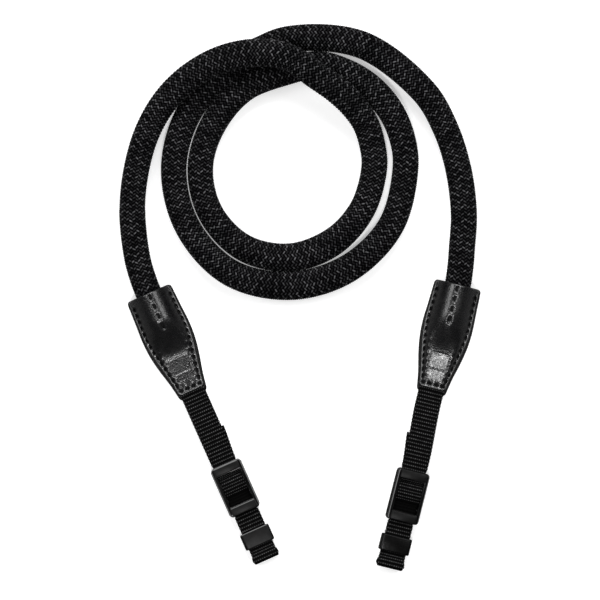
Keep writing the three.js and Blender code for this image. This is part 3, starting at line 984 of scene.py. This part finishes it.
def panel_mesh(kind, length, inset_share, middle, dents):
    """Leather panel round the height of its middle, its cut edges burnished round.

    Its pattern is the distance from its edge and from the mouth, in millimetres."""
    columns, rows = PANELS[kind]

    def crowd(share):
        return share - EDGE_CROWDING * np.sin(2 * math.pi * share)

    def lay(across, along):
        under = across > 0.5  # the second half of the columns is the underside
        share = np.where(under, 2 - 2 * across, 2 * across)
        x = length * crowd(along)
        half = half_width(x, length, inset_share)
        y = half * (2 * crowd(share) - 1)
        return x, y, under, np.minimum(half - np.abs(y), np.minimum(x, length - x))

    def place(across, along):
        x, y, under, rim = lay(across, along)
        round_off = 1 - np.clip(rim / EDGE_ROUND, 0, 1)
        thick = LEATHER / 2 * np.sqrt(1 - round_off ** EDGE_POWER)
        z = middle(x, y) + np.where(under, -thick, thick - dents(x, y) * (thick / LEATHER * 2))
        return np.column_stack([x, y, z])

    def pattern(across, along):
        x, _, _, rim = lay(across, along)
        return 1000 * rim, 1000 * x

    return warped_grid(2 * columns, rows, place, pattern)


def stitches_mesh(stitches, length, thread, pitch, knee):
    """Threads that lie in the hollows of a seam, each dipping into the leather at its ends."""
    bm = bmesh.new()
    around, endwise = STITCH["facets"]
    reach = STITCH["follow"] * length
    for middle, direction in zip(*stitches):
        made = bmesh.ops.create_uvsphere(bm, u_segments=around, v_segments=endwise, radius=0.5)["verts"]
        bmesh.ops.transform(bm, matrix=Matrix.Rotation(math.pi / 2, 4, "Y"), verts=made)
        for vertex in made:
            share = 2 * vertex.co.x
            vertex.co.x = 0.5 * math.copysign(abs(share) ** STITCH["blunt"], share)
            vertex.co.z -= STITCH["dip"] * share ** 4
        bmesh.ops.scale(bm, vec=(length, thread, thread), verts=made)
        ahead = middle + np.outer((-reach, 0, reach), direction)
        heights = front_face(ahead[:, 0], ahead[:, 1], pitch, knee)
        slope = math.atan2(heights[2] - heights[0], 2 * reach)
        heading = Matrix.Rotation(math.atan2(direction[1], direction[0]), 4, "Z")
        seat = Matrix.Translation((*middle, heights[1] + STITCH["proud"] * thread))
        lean = Matrix.Rotation(-slope, 4, "Y")
        bmesh.ops.transform(bm, matrix=seat @ heading @ lean, verts=made)
    return bm


def leather_material(name, colour, group, dust, roughness, gloss, wear_and_glint):
    """Leather with grain and dust, and a painted highlight: its cut edges coloured paler, by as much as
    the last argument says.
    """
    material, tree, shader = new_material(name, Specular_IOR_Level=gloss)
    places = object_places(tree)
    grain = use_group(tree, group, Vector=places)
    dusty = use_group(
        tree, dust, Vector=places, Color=opaque(colour), Dust=(0.16, 0.15, 0.14, 1), Amount=0.06)
    rim, mouth, _ = separated(tree, pattern_places(tree))
    # Painted highlight: a pale band just inside the cut edges, where the burnished edge would catch the
    # light, faint near the mouth.
    painted_glint = product(
        tree,
        ramp(tree, rim, 0.12, 0.3),
        ramp(tree, rim, 0.38, 0.62, 1.0, 0.0),
        ramp(tree, mouth, 1.5, 9.0, 0.1, 1.0),
        ramp(tree, noise(tree, places, 380.0, 3.0), 0.35, 0.65, 0.25, 1.0),
        wear_and_glint)
    rough = ramp(tree, grain["Unevenness"], 0.3, 0.7, roughness - 0.03, roughness + 0.05)
    rough = calc(tree, "ADD", rough, ramp(tree, grain["Height"], 0.35, 0.75, -0.06, 0.06))
    feed(
        tree, shader, Base_Color=mix_colour(tree, painted_glint, dusty["Color"], grey(0.16)),
        Roughness=calc(tree, "MULTIPLY_ADD", dusty["Mask"], 0.3, rough),
        Normal=bumped(tree, grain["Height"], 0.00008))
    return material


def thread_material():
    """Waxed thread, twisted."""
    material, tree, shader = new_material("waxed_thread", Roughness=0.6, Specular_IOR_Level=0.1)
    fibre = noise(tree, object_places(tree), 5200.0)
    feed(
        tree, shader, Base_Color=mix_colour(tree, fibre, grey(0.001), grey(0.005)),
        Normal=bumped(tree, fibre, 0.00005))
    return material


def build_leather(settings):
    grain, dust = grain_group(), dust_group()
    front = leather_material(
        "glossy_leather", settings.colour, grain, dust, roughness=0.26, gloss=0.72, wear_and_glint=0.6)
    lining = leather_material(
        "tab_lining", settings.lining, grain, dust, roughness=0.42, gloss=0.15, wear_and_glint=0.0)
    waxed = thread_material()
    pitch, thread = settings.stitch, settings.thread
    for side in SIDES:
        matrix, knee = end_matrix(side), ENDS[side]["knee"]
        back = panel_mesh("back", TAB_LENGTH, 0, lambda x, y: curl(x, y) + LEATHER / 2,
                          lambda x, y: np.zeros(len(x)))
        piece_from(f"tab_back_{side}", back, matrix, lining, f"leather_back_{side}")
        face = panel_mesh("front", FRONT_LENGTH, 1, lambda x, y: front_middle(x, y, knee),
                          lambda x, y: front_dents(x, y, pitch))
        piece_from(f"tab_front_{side}", face, matrix, front, f"leather_front_{side}")
        edge = stitches_mesh(seam_stitches(pitch), 0.5 * pitch, thread, pitch, knee)
        piece_from(f"edge_stitching_{side}", edge, matrix, waxed)
        centre = stitches_mesh(
            centre_stitches(), CENTRE_SEAM["stitch"], CENTRE_SEAM["thicker"] * thread, pitch, knee)
        piece_from(f"centre_stitching_{side}", centre, matrix, waxed)


# ---- webbing ----

RIB_ROWS = 5  # rows of points along each rib
WARP_POINTS = 4  # points across each warp end
RIB_RELIEF = 0.00030
RIB_BLUNT = 0.8  # power that rounds the ribs' crests off
RIB_PROUD = 0.00008  # how far those crests stand over the webbing's plain thickness
WARP_RELIEF = 0.00010
SCALLOP = 0.00028  # how far each rib stands out at the webbing's edges
THIN_EDGE = {"from": 0.97, "thick": 0.55}  # the webbing's edges, from this share of its half width
SEWN = {"width": 0.62, "thick": 0.45, "run": (0.036, 0.0405)}  # the webbing pinched inside the tab
DRAWN_IN = {"width": 0.94, "blend": 0.0010}  # the webbing between the slider's rails
FOLD_FLARE = {"width": 1.09, "run": 0.0034, "corner": 0.0019}  # the webbing spread at its fold
# Ribs crowd over a stretch from the slider's upper edge, in its window, and close to the fold.
CROWDED = {"window": (0.0035, 0.0170), "in_window": 0.28, "fold": 0.0058, "by_fold": 0.2,
           "blend": 0.001}
# From the slider's upper edge: here the webbing dips away under the end bar, and its ribs are held flat
# in the pattern so that they are painted plain dark, a painted shade.
SHADED_DIVE = (0.0120, 0.0172)
WEB_STEP = 0.0001
WEB_TANGENT = 0.0003  # reach on either side over which the webbing's direction is taken
FOLD_POINTS = 40


def layers_level(x, end):
    """Height of the middle of both layers, arched over the slider's middle bar."""
    arch = between(x - end["slider_at"], ARCH["rise"], ARCH["fall"])
    return lerp(WEB_LEVEL, ARCH_CREST, arch)


def layer_line(x, layer, end):
    """Middle line of one layer: layer is +1 for the top one and -1 for the tail beneath it."""
    step = 0.00001
    slope = (layers_level(x + step, end) - layers_level(x - step, end)) / (2 * step)
    steep = np.sqrt(1 + slope ** 2)
    offset = layer * lerp(LAYER_OFFSET, FOLD_RADIUS, smoothstep(x, FOLD_FLARE_START, FOLD_CENTRE))
    in_tab = 1 - smoothstep(x, *WEB_LIFT) if layer > 0 else np.zeros(len(x))
    level = lerp(layers_level(x, end) + offset / steep, LEATHER + GAP + WEB_THICKNESS / 2, in_tab)
    fade = 1 - smoothstep(x, end["slider_at"] - TAIL_LEAD, end["slider_at"])
    stray = end["peek"] * TAIL_PEEK * fade if layer < 0 else np.zeros(len(x))
    return np.column_stack([x - offset * slope / steep, stray, level])


def webbing_line(end):
    """Middle line of the whole webbing: out of the tab, round the fold and back to the tail's end."""
    top = layer_line(np.arange(WEB_START, FOLD_CENTRE, WEB_STEP), 1, end)
    turn = np.linspace(0, math.pi, FOLD_POINTS)[1:-1]
    fold = np.column_stack([
        FOLD_CENTRE + FOLD_RADIUS * np.sin(turn),
        np.zeros(len(turn)),
        WEB_LEVEL + FOLD_RADIUS * np.cos(turn),
    ])
    under = layer_line(np.arange(FOLD_CENTRE, end["slider_at"] - TAIL_LEAD, -WEB_STEP), -1, end)
    return np.vstack([top, fold, under])


def rolled(places, end):
    """Places of the strap rolled about its own middle line, as far as the end is rolled there."""
    share = smoothstep(places[:, 0], *ROLL_RUN)
    angle = math.radians(end["roll"]) * share
    y, height = places[:, 1], places[:, 2] - WEB_LEVEL
    return np.column_stack([
        places[:, 0],
        y * np.cos(angle) - height * np.sin(angle) + end["drift"] * share,
        WEB_LEVEL + y * np.sin(angle) + height * np.cos(angle) + end["lift"] * share,
    ])


def webbing_breadth(x, end):
    """Width of the webbing: pinched inside the tab, drawn in by the slider, spread at the fold."""
    start, stop, blend = end["slider_at"], end["slider_at"] + SLIDER_LENGTH, DRAWN_IN["blend"]
    slider = between(x, (start - blend, start), (stop, stop + blend))
    flare = smoothstep(x, WEB_END - FOLD_FLARE["run"], WEB_END - FOLD_FLARE["corner"])
    missing = np.clip(x - WEB_END + FOLD_FLARE["corner"], 0, FOLD_FLARE["corner"])
    breadth = WEB_WIDTH + 0.5 * SCALLOP
    breadth = breadth * lerp(SEWN["width"], 1, smoothstep(x, *SEWN["run"]))
    breadth = breadth * lerp(1, DRAWN_IN["width"], slider) * lerp(1, FOLD_FLARE["width"], flare)
    return breadth - 2 * (FOLD_FLARE["corner"] - np.sqrt(FOLD_FLARE["corner"] ** 2 - missing ** 2))


def rib_counts(x, lengths, pitch, end):
    """Ribs before each point of the webbing's line: they crowd in the slider and by the fold."""
    start, stop = (end["slider_at"] + at for at in CROWDED["window"])
    near_fold, blend = WEB_END - CROWDED["fold"], CROWDED["blend"]
    window = between(x, (start, start + blend), (stop, stop + blend))
    fold = smoothstep(x, near_fold, near_fold + blend)
    closeness = 1 + CROWDED["in_window"] * window + CROWDED["by_fold"] * fold
    counts = np.r_[0, np.cumsum(closeness[1:] * np.diff(lengths))] / pitch
    return counts * round(counts[-1]) / counts[-1]


def webbing_mesh(side, settings):
    """Ribbed band along the webbing's line: weft ribs across it, warp ends over them."""
    end = ENDS[side]
    line = webbing_line(end)
    lengths = lengths_along(line)
    counts = rib_counts(line[:, 0], lengths, settings.rib, end)
    ribs = round(counts[-1])
    top = np.argmax(line[:, 0])
    shaded_ribs = [round(np.interp(end["slider_at"] + at, line[:top, 0], counts[:top])) for at in SHADED_DIVE]
    rows = ribs * RIB_ROWS + 2
    face = settings.warps * WARP_POINTS  # columns on each face
    ring = 2 * face + 2

    def lattice(across, along):
        step = np.round(across * ring).astype(int) % ring
        under = step > face
        lane = np.where(under, 2 * face + 1 - step, step)  # 0 to face, from one edge to the other
        row = np.round(along * rows)
        pole = (row == 0) | (row == rows)
        return lane / face, under, np.clip(row - 1, 0, rows - 2) / RIB_ROWS, pole

    def place(across, along):
        lane, under, rib, pole = lattice(across, along)
        s = np.interp(rib, counts, lengths)
        behind, middle, ahead = (
            points_at(line, lengths, s + step) for step in (-WEB_TANGENT, 0, WEB_TANGENT))
        run = unit(ahead - behind)
        weft = np.abs(np.sin(math.pi * rib)) ** RIB_BLUNT
        shift = np.where(np.floor(rib) % 2 == 1, 0.5, 0.0)
        warp = np.abs(np.sin(math.pi * (lane * settings.warps + shift)))
        edge = np.abs(2 * lane - 1)
        half = WEB_THICKNESS / 2 + RIB_PROUD - RIB_RELIEF * (1 - weft) - WARP_RELIEF * (1 - warp) * weft
        half = half * np.where(edge > THIN_EDGE["from"], THIN_EDGE["thick"], 1.0)
        half = half * lerp(SEWN["thick"], 1, smoothstep(middle[:, 0], *SEWN["run"]))
        half = np.where(pole, 0.0, half)
        breadth = webbing_breadth(middle[:, 0], end) - SCALLOP * (1 - weft)
        up = np.where(under, -half, half)
        places = np.column_stack([
            middle[:, 0] - run[:, 2] * up,
            middle[:, 1] + (lane - 0.5) * breadth,
            middle[:, 2] + run[:, 0] * up,
        ])
        return rolled(places, end)

    def pattern(across, along):
        lane, _, rib, _ = lattice(across, along)
        # Where the webbing dips under the end bar the rib count is held, so the material paints it
        # plain dark: painted shade.
        return lane * settings.warps, np.where((rib > shaded_ribs[0]) & (rib < shaded_ribs[1]), shaded_ribs[0], rib)

    return warped_grid(ring, rows, place, pattern)


def webbing_material(settings):
    """Ribbed nylon: fibres along each warp end, with a painted highlight on the rib crests and painted
    shade where it dips between the ribs.
    """
    material, tree, shader = new_material("ribbed_webbing", Specular_IOR_Level=0.02)
    x, y, _ = separated(tree, pattern_places(tree))
    rib = calc(tree, "FLOOR", y)
    offset = calc(tree, "MULTIPLY_ADD", calc(tree, "MODULO", rib, 2.0), 0.5, x)
    fibre = noise(tree, combined(tree, product(tree, x, 7.0), product(tree, y, 2.5)), 1.0)
    # Painted highlight on the crests of the ribs and warp ends, painted shade between them.
    shade = product(
        tree,
        calc(tree, "POWER", wave(tree, y), 13.0),
        calc(tree, "POWER", wave(tree, offset), 4.0),
        ramp(tree, fibre, 0.3, 0.7, 0.6, 1.0),
        ramp(tree, cell_random(tree, calc(tree, "FLOOR", offset), rib), 0.0, 1.0, 0.5, 1.0))
    # Colours of that painted shade and painted highlight, against the webbing's own colour.
    painted_shade_colour, pale = opaque(settings.colour, 0.12), opaque(settings.colour, 15.0)
    feed(
        tree, shader, Base_Color=mix_colour(tree, shade, painted_shade_colour, pale),
        Roughness=ramp(tree, shade, 0.0, 1.0, 0.75, 0.45), Normal=bumped(tree, fibre, 0.00006))
    return material


def build_webbing(settings):
    material = webbing_material(settings)
    for side in SIDES:
        piece_from(
            f"webbing_band_{side}", webbing_mesh(side, settings), end_matrix(side), material,
            f"webbing_{side}")


# ---- slider and keeper ----

# Attribute of the faces: how matt they are moulded, from 0 to 1, or 2 where a painted highlight
# colours them pale grey, on edges that would catch the light.
MATT_OR_GLINT = "matt_or_painted_glint"
OPENING_HALF = SLIDER_WIDTH / 2 - RAIL  # half the width between the slider's rails
# Ribs down each rail: their edges are rounded by a share of how far they stand out.
GRIP = {"pitch": 0.00095, "width": 0.00034, "proud": 0.00012, "slant": 28, "clear": 0.0012,
        "round": 0.8}
SHOULDER = 0.0005  # radius along the slider's outer top edges
LEDGE = {"width": 0.0009, "thick": 0.0007}  # along the foot of each rail, under the webbing
# Raised face of each end bar, rounded likewise.
BAR_PANEL = {"inset": 0.0006, "overlap": 0.0006, "proud": 0.00032, "round": 0.9}
# Faces that get the painted highlight face up by at most this, and at least so much on the outer
# edges and towards the tab; and they face that way by at least the lean.
GLINT_FACES = {"most": 0.93, "outer": 0.5, "towards": 0.3, "lean": 0.35}
TOLERANCE = 1e-6
CRISP = math.radians(35)  # faces that meet more sharply than this keep a hard edge


def sharp_edges(bm, least=30):
    return [e for e in bm.edges if e.is_manifold and e.calc_face_angle(0) > math.radians(least)]


def bevel(bm, edges, offset, segments):
    bmesh.ops.bevel(
        bm, geom=edges, offset=offset, offset_type="OFFSET", segments=segments, profile=0.5,
        affect="EDGES", material=-1, clamp_overlap=True)


def lift(bm, faces, height):
    """Extrudes faces straight up, or down where the height is below zero."""
    made = bmesh.ops.extrude_face_region(bm, geom=faces)["geom"]
    verts = [v for v in made if isinstance(v, bmesh.types.BMVert)]
    bmesh.ops.translate(bm, vec=(0, 0, height), verts=verts)


def slider_frame(edge):
    """The slider's moulded frame: two rails, and two end bars above the webbing."""
    bm = bmesh.new()
    bm.faces.layers.float.new(MATT_OR_GLINT)
    made = bmesh.ops.create_grid(bm, x_segments=3, y_segments=3, size=0.5)["verts"]
    xs = [0, END_BAR, SLIDER_LENGTH - END_BAR, SLIDER_LENGTH]
    ys = [-SLIDER_WIDTH / 2, -OPENING_HALF, OPENING_HALF, SLIDER_WIDTH / 2]
    for vertex in made:
        i, j = round((vertex.co.x + 0.5) * 3), round((vertex.co.y + 0.5) * 3)
        vertex.co = (xs[i], ys[j], BAR_UNDERSIDE)
    centre = Vector((SLIDER_LENGTH / 2, 0, BAR_UNDERSIDE))
    window = min(bm.faces, key=lambda f: (f.calc_center_median() - centre).length)
    bmesh.ops.delete(bm, geom=[window], context="FACES")
    lift(bm, bm.faces[:], SLIDER_HEIGHT - BAR_UNDERSIDE)
    bmesh.ops.recalc_face_normals(bm, faces=bm.faces)
    rails = [
        f for f in bm.faces if f.normal.z < -0.9 and abs(f.calc_center_median().y) > OPENING_HALF]
    lift(bm, rails, -BAR_UNDERSIDE)
    bmesh.ops.delete(bm, geom=rails, context="FACES")
    bmesh.ops.dissolve_limit(bm, angle_limit=0.01, verts=bm.verts, edges=bm.edges)
    bmesh.ops.recalc_face_normals(bm, faces=bm.faces)
    corners = [
        e for e in bm.edges
        if abs(e.verts[0].co.z - e.verts[1].co.z) > SLIDER_HEIGHT / 2
        and min(abs(e.verts[0].co.x), abs(e.verts[0].co.x - SLIDER_LENGTH)) < TOLERANCE
        and abs(e.verts[0].co.y) > SLIDER_WIDTH / 2 - TOLERANCE]
    bevel(bm, corners, SLIDER_CORNER, segments=6)
    shoulders = [
        e for e in sharp_edges(bm)
        if min(v.co.z for v in e.verts) > SLIDER_HEIGHT - TOLERANCE and not in_window(e)]
    bevel(bm, shoulders, SHOULDER, segments=5)
    bevel(bm, sharp_edges(bm), edge, segments=3)
    return bm


def slider_mesh(edge, side):
    """Ladder slider: its frame, a low middle bar beneath the webbing, and its small mouldings."""
    bm = slider_frame(edge)
    bar = bmesh.ops.create_cone(
        bm, cap_ends=True, segments=24, radius1=MIDDLE_BAR["radius"], radius2=MIDDLE_BAR["radius"],
        depth=2 * OPENING_HALF + RAIL)["verts"]
    seat = Matrix.Translation((MIDDLE_BAR["at"], 0, MIDDLE_BAR["level"]))
    bmesh.ops.transform(bm, matrix=seat @ Matrix.Rotation(math.pi / 2, 4, "X"), verts=bar)
    size = (SLIDER_LENGTH - 2 * END_BAR, LEDGE["width"] + RAIL / 2, LEDGE["thick"])
    for outward in (-1, 1):
        y = outward * (OPENING_HALF - LEDGE["width"] + size[1] / 2)
        add_block(bm, size, Matrix.Translation((SLIDER_LENGTH / 2, y, size[2] / 2)), edge / 3)
    proud = BAR_PANEL["proud"]
    size = (END_BAR - BAR_PANEL["inset"], 2 * OPENING_HALF + BAR_PANEL["overlap"], 2 * proud)
    for x in (END_BAR / 2, SLIDER_LENGTH - END_BAR / 2):
        place = Matrix.Translation((x, 0, SLIDER_HEIGHT))
        add_block(bm, size, place, BAR_PANEL["round"] * proud, matt_or_painted_glint=1)

    length = SLIDER_LENGTH - 2 * SLIDER_CORNER
    count = int(length / GRIP["pitch"])
    size = (GRIP["width"], 2 * GRIP["proud"], SLIDER_HEIGHT - 2 * GRIP["clear"])
    level = SLIDER_HEIGHT / 2 - GRIP["clear"] / 4
    lean = Matrix.Rotation(math.radians(GRIP["slant"]), 4, "Y")
    for i in range(count):
        for outward in (-1, 1):
            place = Matrix.Translation(
                (SLIDER_CORNER + (i + 0.5) * length / count, outward * SLIDER_WIDTH / 2, level))
            add_block(bm, size, place @ lean, GRIP["round"] * GRIP["proud"])
    paint_glint(bm, side, SLIDER_WIDTH / 2)
    return bm


def paint_glint(bm, side, half=None):
    """Marks faces for a painted highlight: outer top edges at this half width, and edges towards the
    tab.
    """
    layer = bm.faces.layers.float[MATT_OR_GLINT]
    bm.normal_update()
    for face in bm.faces:
        x, y, up = face.normal
        outer = half and abs(face.calc_center_median().y) > half - SHOULDER
        outer = outer and up > GLINT_FACES["outer"] and abs(y) > GLINT_FACES["lean"]
        towards_tab = ENDS[side]["painted_glint"] and up > GLINT_FACES["towards"] and x < -GLINT_FACES["lean"]
        if up < GLINT_FACES["most"] and (outer or towards_tab):
            face[layer] = 2


def in_window(edge):
    """Whether an edge is one of those round the slider's opening."""
    middle = (edge.verts[0].co + edge.verts[1].co) / 2
    along = END_BAR - TOLERANCE <= middle.x <= SLIDER_LENGTH - END_BAR + TOLERANCE
    return along and abs(middle.y) < OPENING_HALF + TOLERANCE


def add_block(bm, size, matrix, round_off, matt_or_painted_glint=0):
    """Adds a block with its edges rounded."""
    block = bmesh.new()
    layer = block.faces.layers.float.new(MATT_OR_GLINT)
    bmesh.ops.create_cube(block, size=1)
    bmesh.ops.scale(block, vec=size, verts=block.verts)
    bevel(block, block.edges[:], round_off, segments=2)
    block.transform(matrix)
    for face in block.faces:
        face[layer] = matt_or_painted_glint
    mesh = mesh_from("block", block)
    bm.from_mesh(mesh)
    bpy.data.meshes.remove(mesh)


def keeper_mesh(side):
    """Keeper: a plain sleeve round both layers of webbing."""
    bm = bmesh.new()
    layer = bm.faces.layers.float.new(MATT_OR_GLINT)
    width = WEB_WIDTH + 2 * GAP + 2 * KEEPER_WALL
    height = 2 * (LAYER_OFFSET + WEB_THICKNESS / 2 + GAP) + 2 * KEEPER_WALL
    bmesh.ops.create_cube(bm, size=1)
    bmesh.ops.scale(bm, vec=(KEEPER_LENGTH, width, height), verts=bm.verts)
    bmesh.ops.translate(bm, vec=(KEEPER_LENGTH / 2, 0, 0), verts=bm.verts)
    lengthwise = [e for e in bm.edges if abs(e.verts[0].co.x - e.verts[1].co.x) > KEEPER_LENGTH / 2]
    bevel(bm, lengthwise, KEEPER_CORNER, segments=6)
    bmesh.ops.delete(bm, geom=[f for f in bm.faces if abs(f.normal.x) > 0.9], context="FACES")
    bmesh.ops.recalc_face_normals(bm, faces=bm.faces)
    bmesh.ops.solidify(bm, geom=bm.faces[:], thickness=KEEPER_WALL)
    bmesh.ops.recalc_face_normals(bm, faces=bm.faces)
    outer = [
        e for e in sharp_edges(bm, 60)
        if all(abs(v.co.y) > width / 2 - 10 * TOLERANCE or abs(v.co.z) > height / 2 - 10 * TOLERANCE
               or corner_place(v.co, width, height) for v in e.verts)]
    bevel(bm, outer, KEEPER_RIM, segments=4)
    for face in bm.faces:
        face[layer] = ENDS[side]["matt"]
    paint_glint(bm, side)
    return bm


def corner_place(place, width, height):
    """Whether a point lies on the keeper's rounded outer corners."""
    dy = abs(place.y) - (width / 2 - KEEPER_CORNER)
    dz = abs(place.z) - (height / 2 - KEEPER_CORNER)
    return dy > 0 and dz > 0 and math.hypot(dy, dz) > KEEPER_CORNER - KEEPER_WALL / 2


def plastic_material(settings, dust):
    """Moulded plastic: glossy, with some faces spark eroded matt and a painted highlight on some edges.
    """
    material, tree, shader = new_material("satin_plastic", Specular_IOR_Level=0.15)
    places = object_places(tree)
    dusty = use_group(
        tree, dust, Vector=places, Color=opaque(settings.colour), Dust=grey(0.14), Amount=0.05)
    mark = add_node(tree, "Attribute")
    mark.attribute_name = MATT_OR_GLINT
    matt = mark.outputs["Fac"]
    smooth = ramp(tree, noise(tree, places, 240.0), 0.3, 0.7, 0.14, 0.20)
    depth = product(tree, noise(tree, places, 4200.0), calc(tree, "MULTIPLY_ADD", matt, 1.5, 0.5))
    # Faces marked 2 are coloured pale grey: a painted highlight on edges that would catch the light.
    feed(
        tree, shader,
        Base_Color=mix_colour(tree, ramp(tree, matt, 1.4, 1.6), dusty["Color"], grey(0.13)),
        Roughness=calc(tree, "MULTIPLY_ADD", matt, 0.22, smooth), Normal=bumped(tree, depth, 0.00002))
    return material


def build_sliders(settings):
    material = plastic_material(settings, bpy.data.node_groups["dust"])
    for side in SIDES:
        place = rigid_matrix(side, ENDS[side]["slider_at"], WEB_LEVEL)
        slider = piece_from(
            f"ladder_slider_{side}", slider_mesh(settings.bevel, side), place, material,
            f"slider_{side}")
        slider.data.set_sharp_from_angle(angle=CRISP)


def build_keepers():
    material = bpy.data.materials["satin_plastic"]
    for side in SIDES:
        keeper = piece_from(
            f"webbing_keeper_{side}", keeper_mesh(side), rigid_matrix(side, KEEPER_AT, 0), material,
            f"keeper_{side}", f"keeper_{side}")
        keeper.data.set_sharp_from_angle(angle=CRISP)


# ---- operators and panel ----

class STRAP_OT_stage(bpy.types.Operator):
    """Lay the pale floor, light it softly and put the camera overhead"""

    bl_idname = "strap.stage"
    bl_label = "Stage"

    def execute(self, context):
        build_stage(context.scene.strap_stage)
        return {"FINISHED"}


class STRAP_OT_rope(bpy.types.Operator):
    """Lay the rope's core along the coil and braid its sheath round it"""

    bl_idname = "strap.rope"
    bl_label = "Braided rope"

    def execute(self, context):
        build_rope(context.scene.strap_rope)
        return {"FINISHED"}


class STRAP_OT_leather(bpy.types.Operator):
    """Cut the leather tabs, press them over the rope and stitch them"""

    bl_idname = "strap.leather"
    bl_label = "Leather tabs"

    def execute(self, context):
        build_leather(context.scene.strap_leather)
        return {"FINISHED"}


class STRAP_OT_webbing(bpy.types.Operator):
    """Weave the ribbed webbing loops"""

    bl_idname = "strap.webbing"
    bl_label = "Webbing"

    def execute(self, context):
        build_webbing(context.scene.strap_webbing)
        return {"FINISHED"}


class STRAP_OT_sliders(bpy.types.Operator):
    """Mould the ladder sliders"""

    bl_idname = "strap.sliders"
    bl_label = "Sliders"

    def execute(self, context):
        build_sliders(context.scene.strap_plastic)
        return {"FINISHED"}


class STRAP_OT_keepers(bpy.types.Operator):
    """Mould the keepers, each on its own body"""

    bl_idname = "strap.keepers"
    bl_label = "Keepers"

    def execute(self, context):
        build_keepers()
        return {"FINISHED"}


STEPS = (
    STRAP_OT_stage,
    STRAP_OT_rope,
    STRAP_OT_leather,
    STRAP_OT_webbing,
    STRAP_OT_sliders,
    STRAP_OT_keepers,
)
SETTINGS = {
    "strap_stage": StageSettings,
    "strap_rope": RopeSettings,
    "strap_leather": LeatherSettings,
    "strap_webbing": WebbingSettings,
    "strap_plastic": PlasticSettings,
}


class STRAP_PT_panel(bpy.types.Panel):
    """Lists the strap's settings and the steps that build it"""

    bl_idname = "STRAP_PT_panel"
    bl_label = "Rope camera strap"
    bl_space_type = "VIEW_3D"
    bl_region_type = "UI"
    bl_category = "Strap"

    def draw(self, context):
        for name, kind in SETTINGS.items():
            box = self.layout.box()
            for label in kind.__annotations__:
                box.prop(getattr(context.scene, name), label)
        for step in STEPS:
            self.layout.operator(step.bl_idname)


CLASSES = (*SETTINGS.values(), *STEPS, STRAP_PT_panel)


def register():
    for cls in CLASSES:
        bpy.utils.register_class(cls)
    for name, kind in SETTINGS.items():
        setattr(bpy.types.Scene, name, bpy.props.PointerProperty(type=kind))


def unregister():
    for name in SETTINGS:
        delattr(bpy.types.Scene, name)
    for cls in reversed(CLASSES):
        bpy.utils.unregister_class(cls)


def main():
    register()
    for step in STEPS:
        group, name = step.bl_idname.split(".")
        getattr(getattr(bpy.ops, group), name)()


if __name__ == "__main__":
    main()
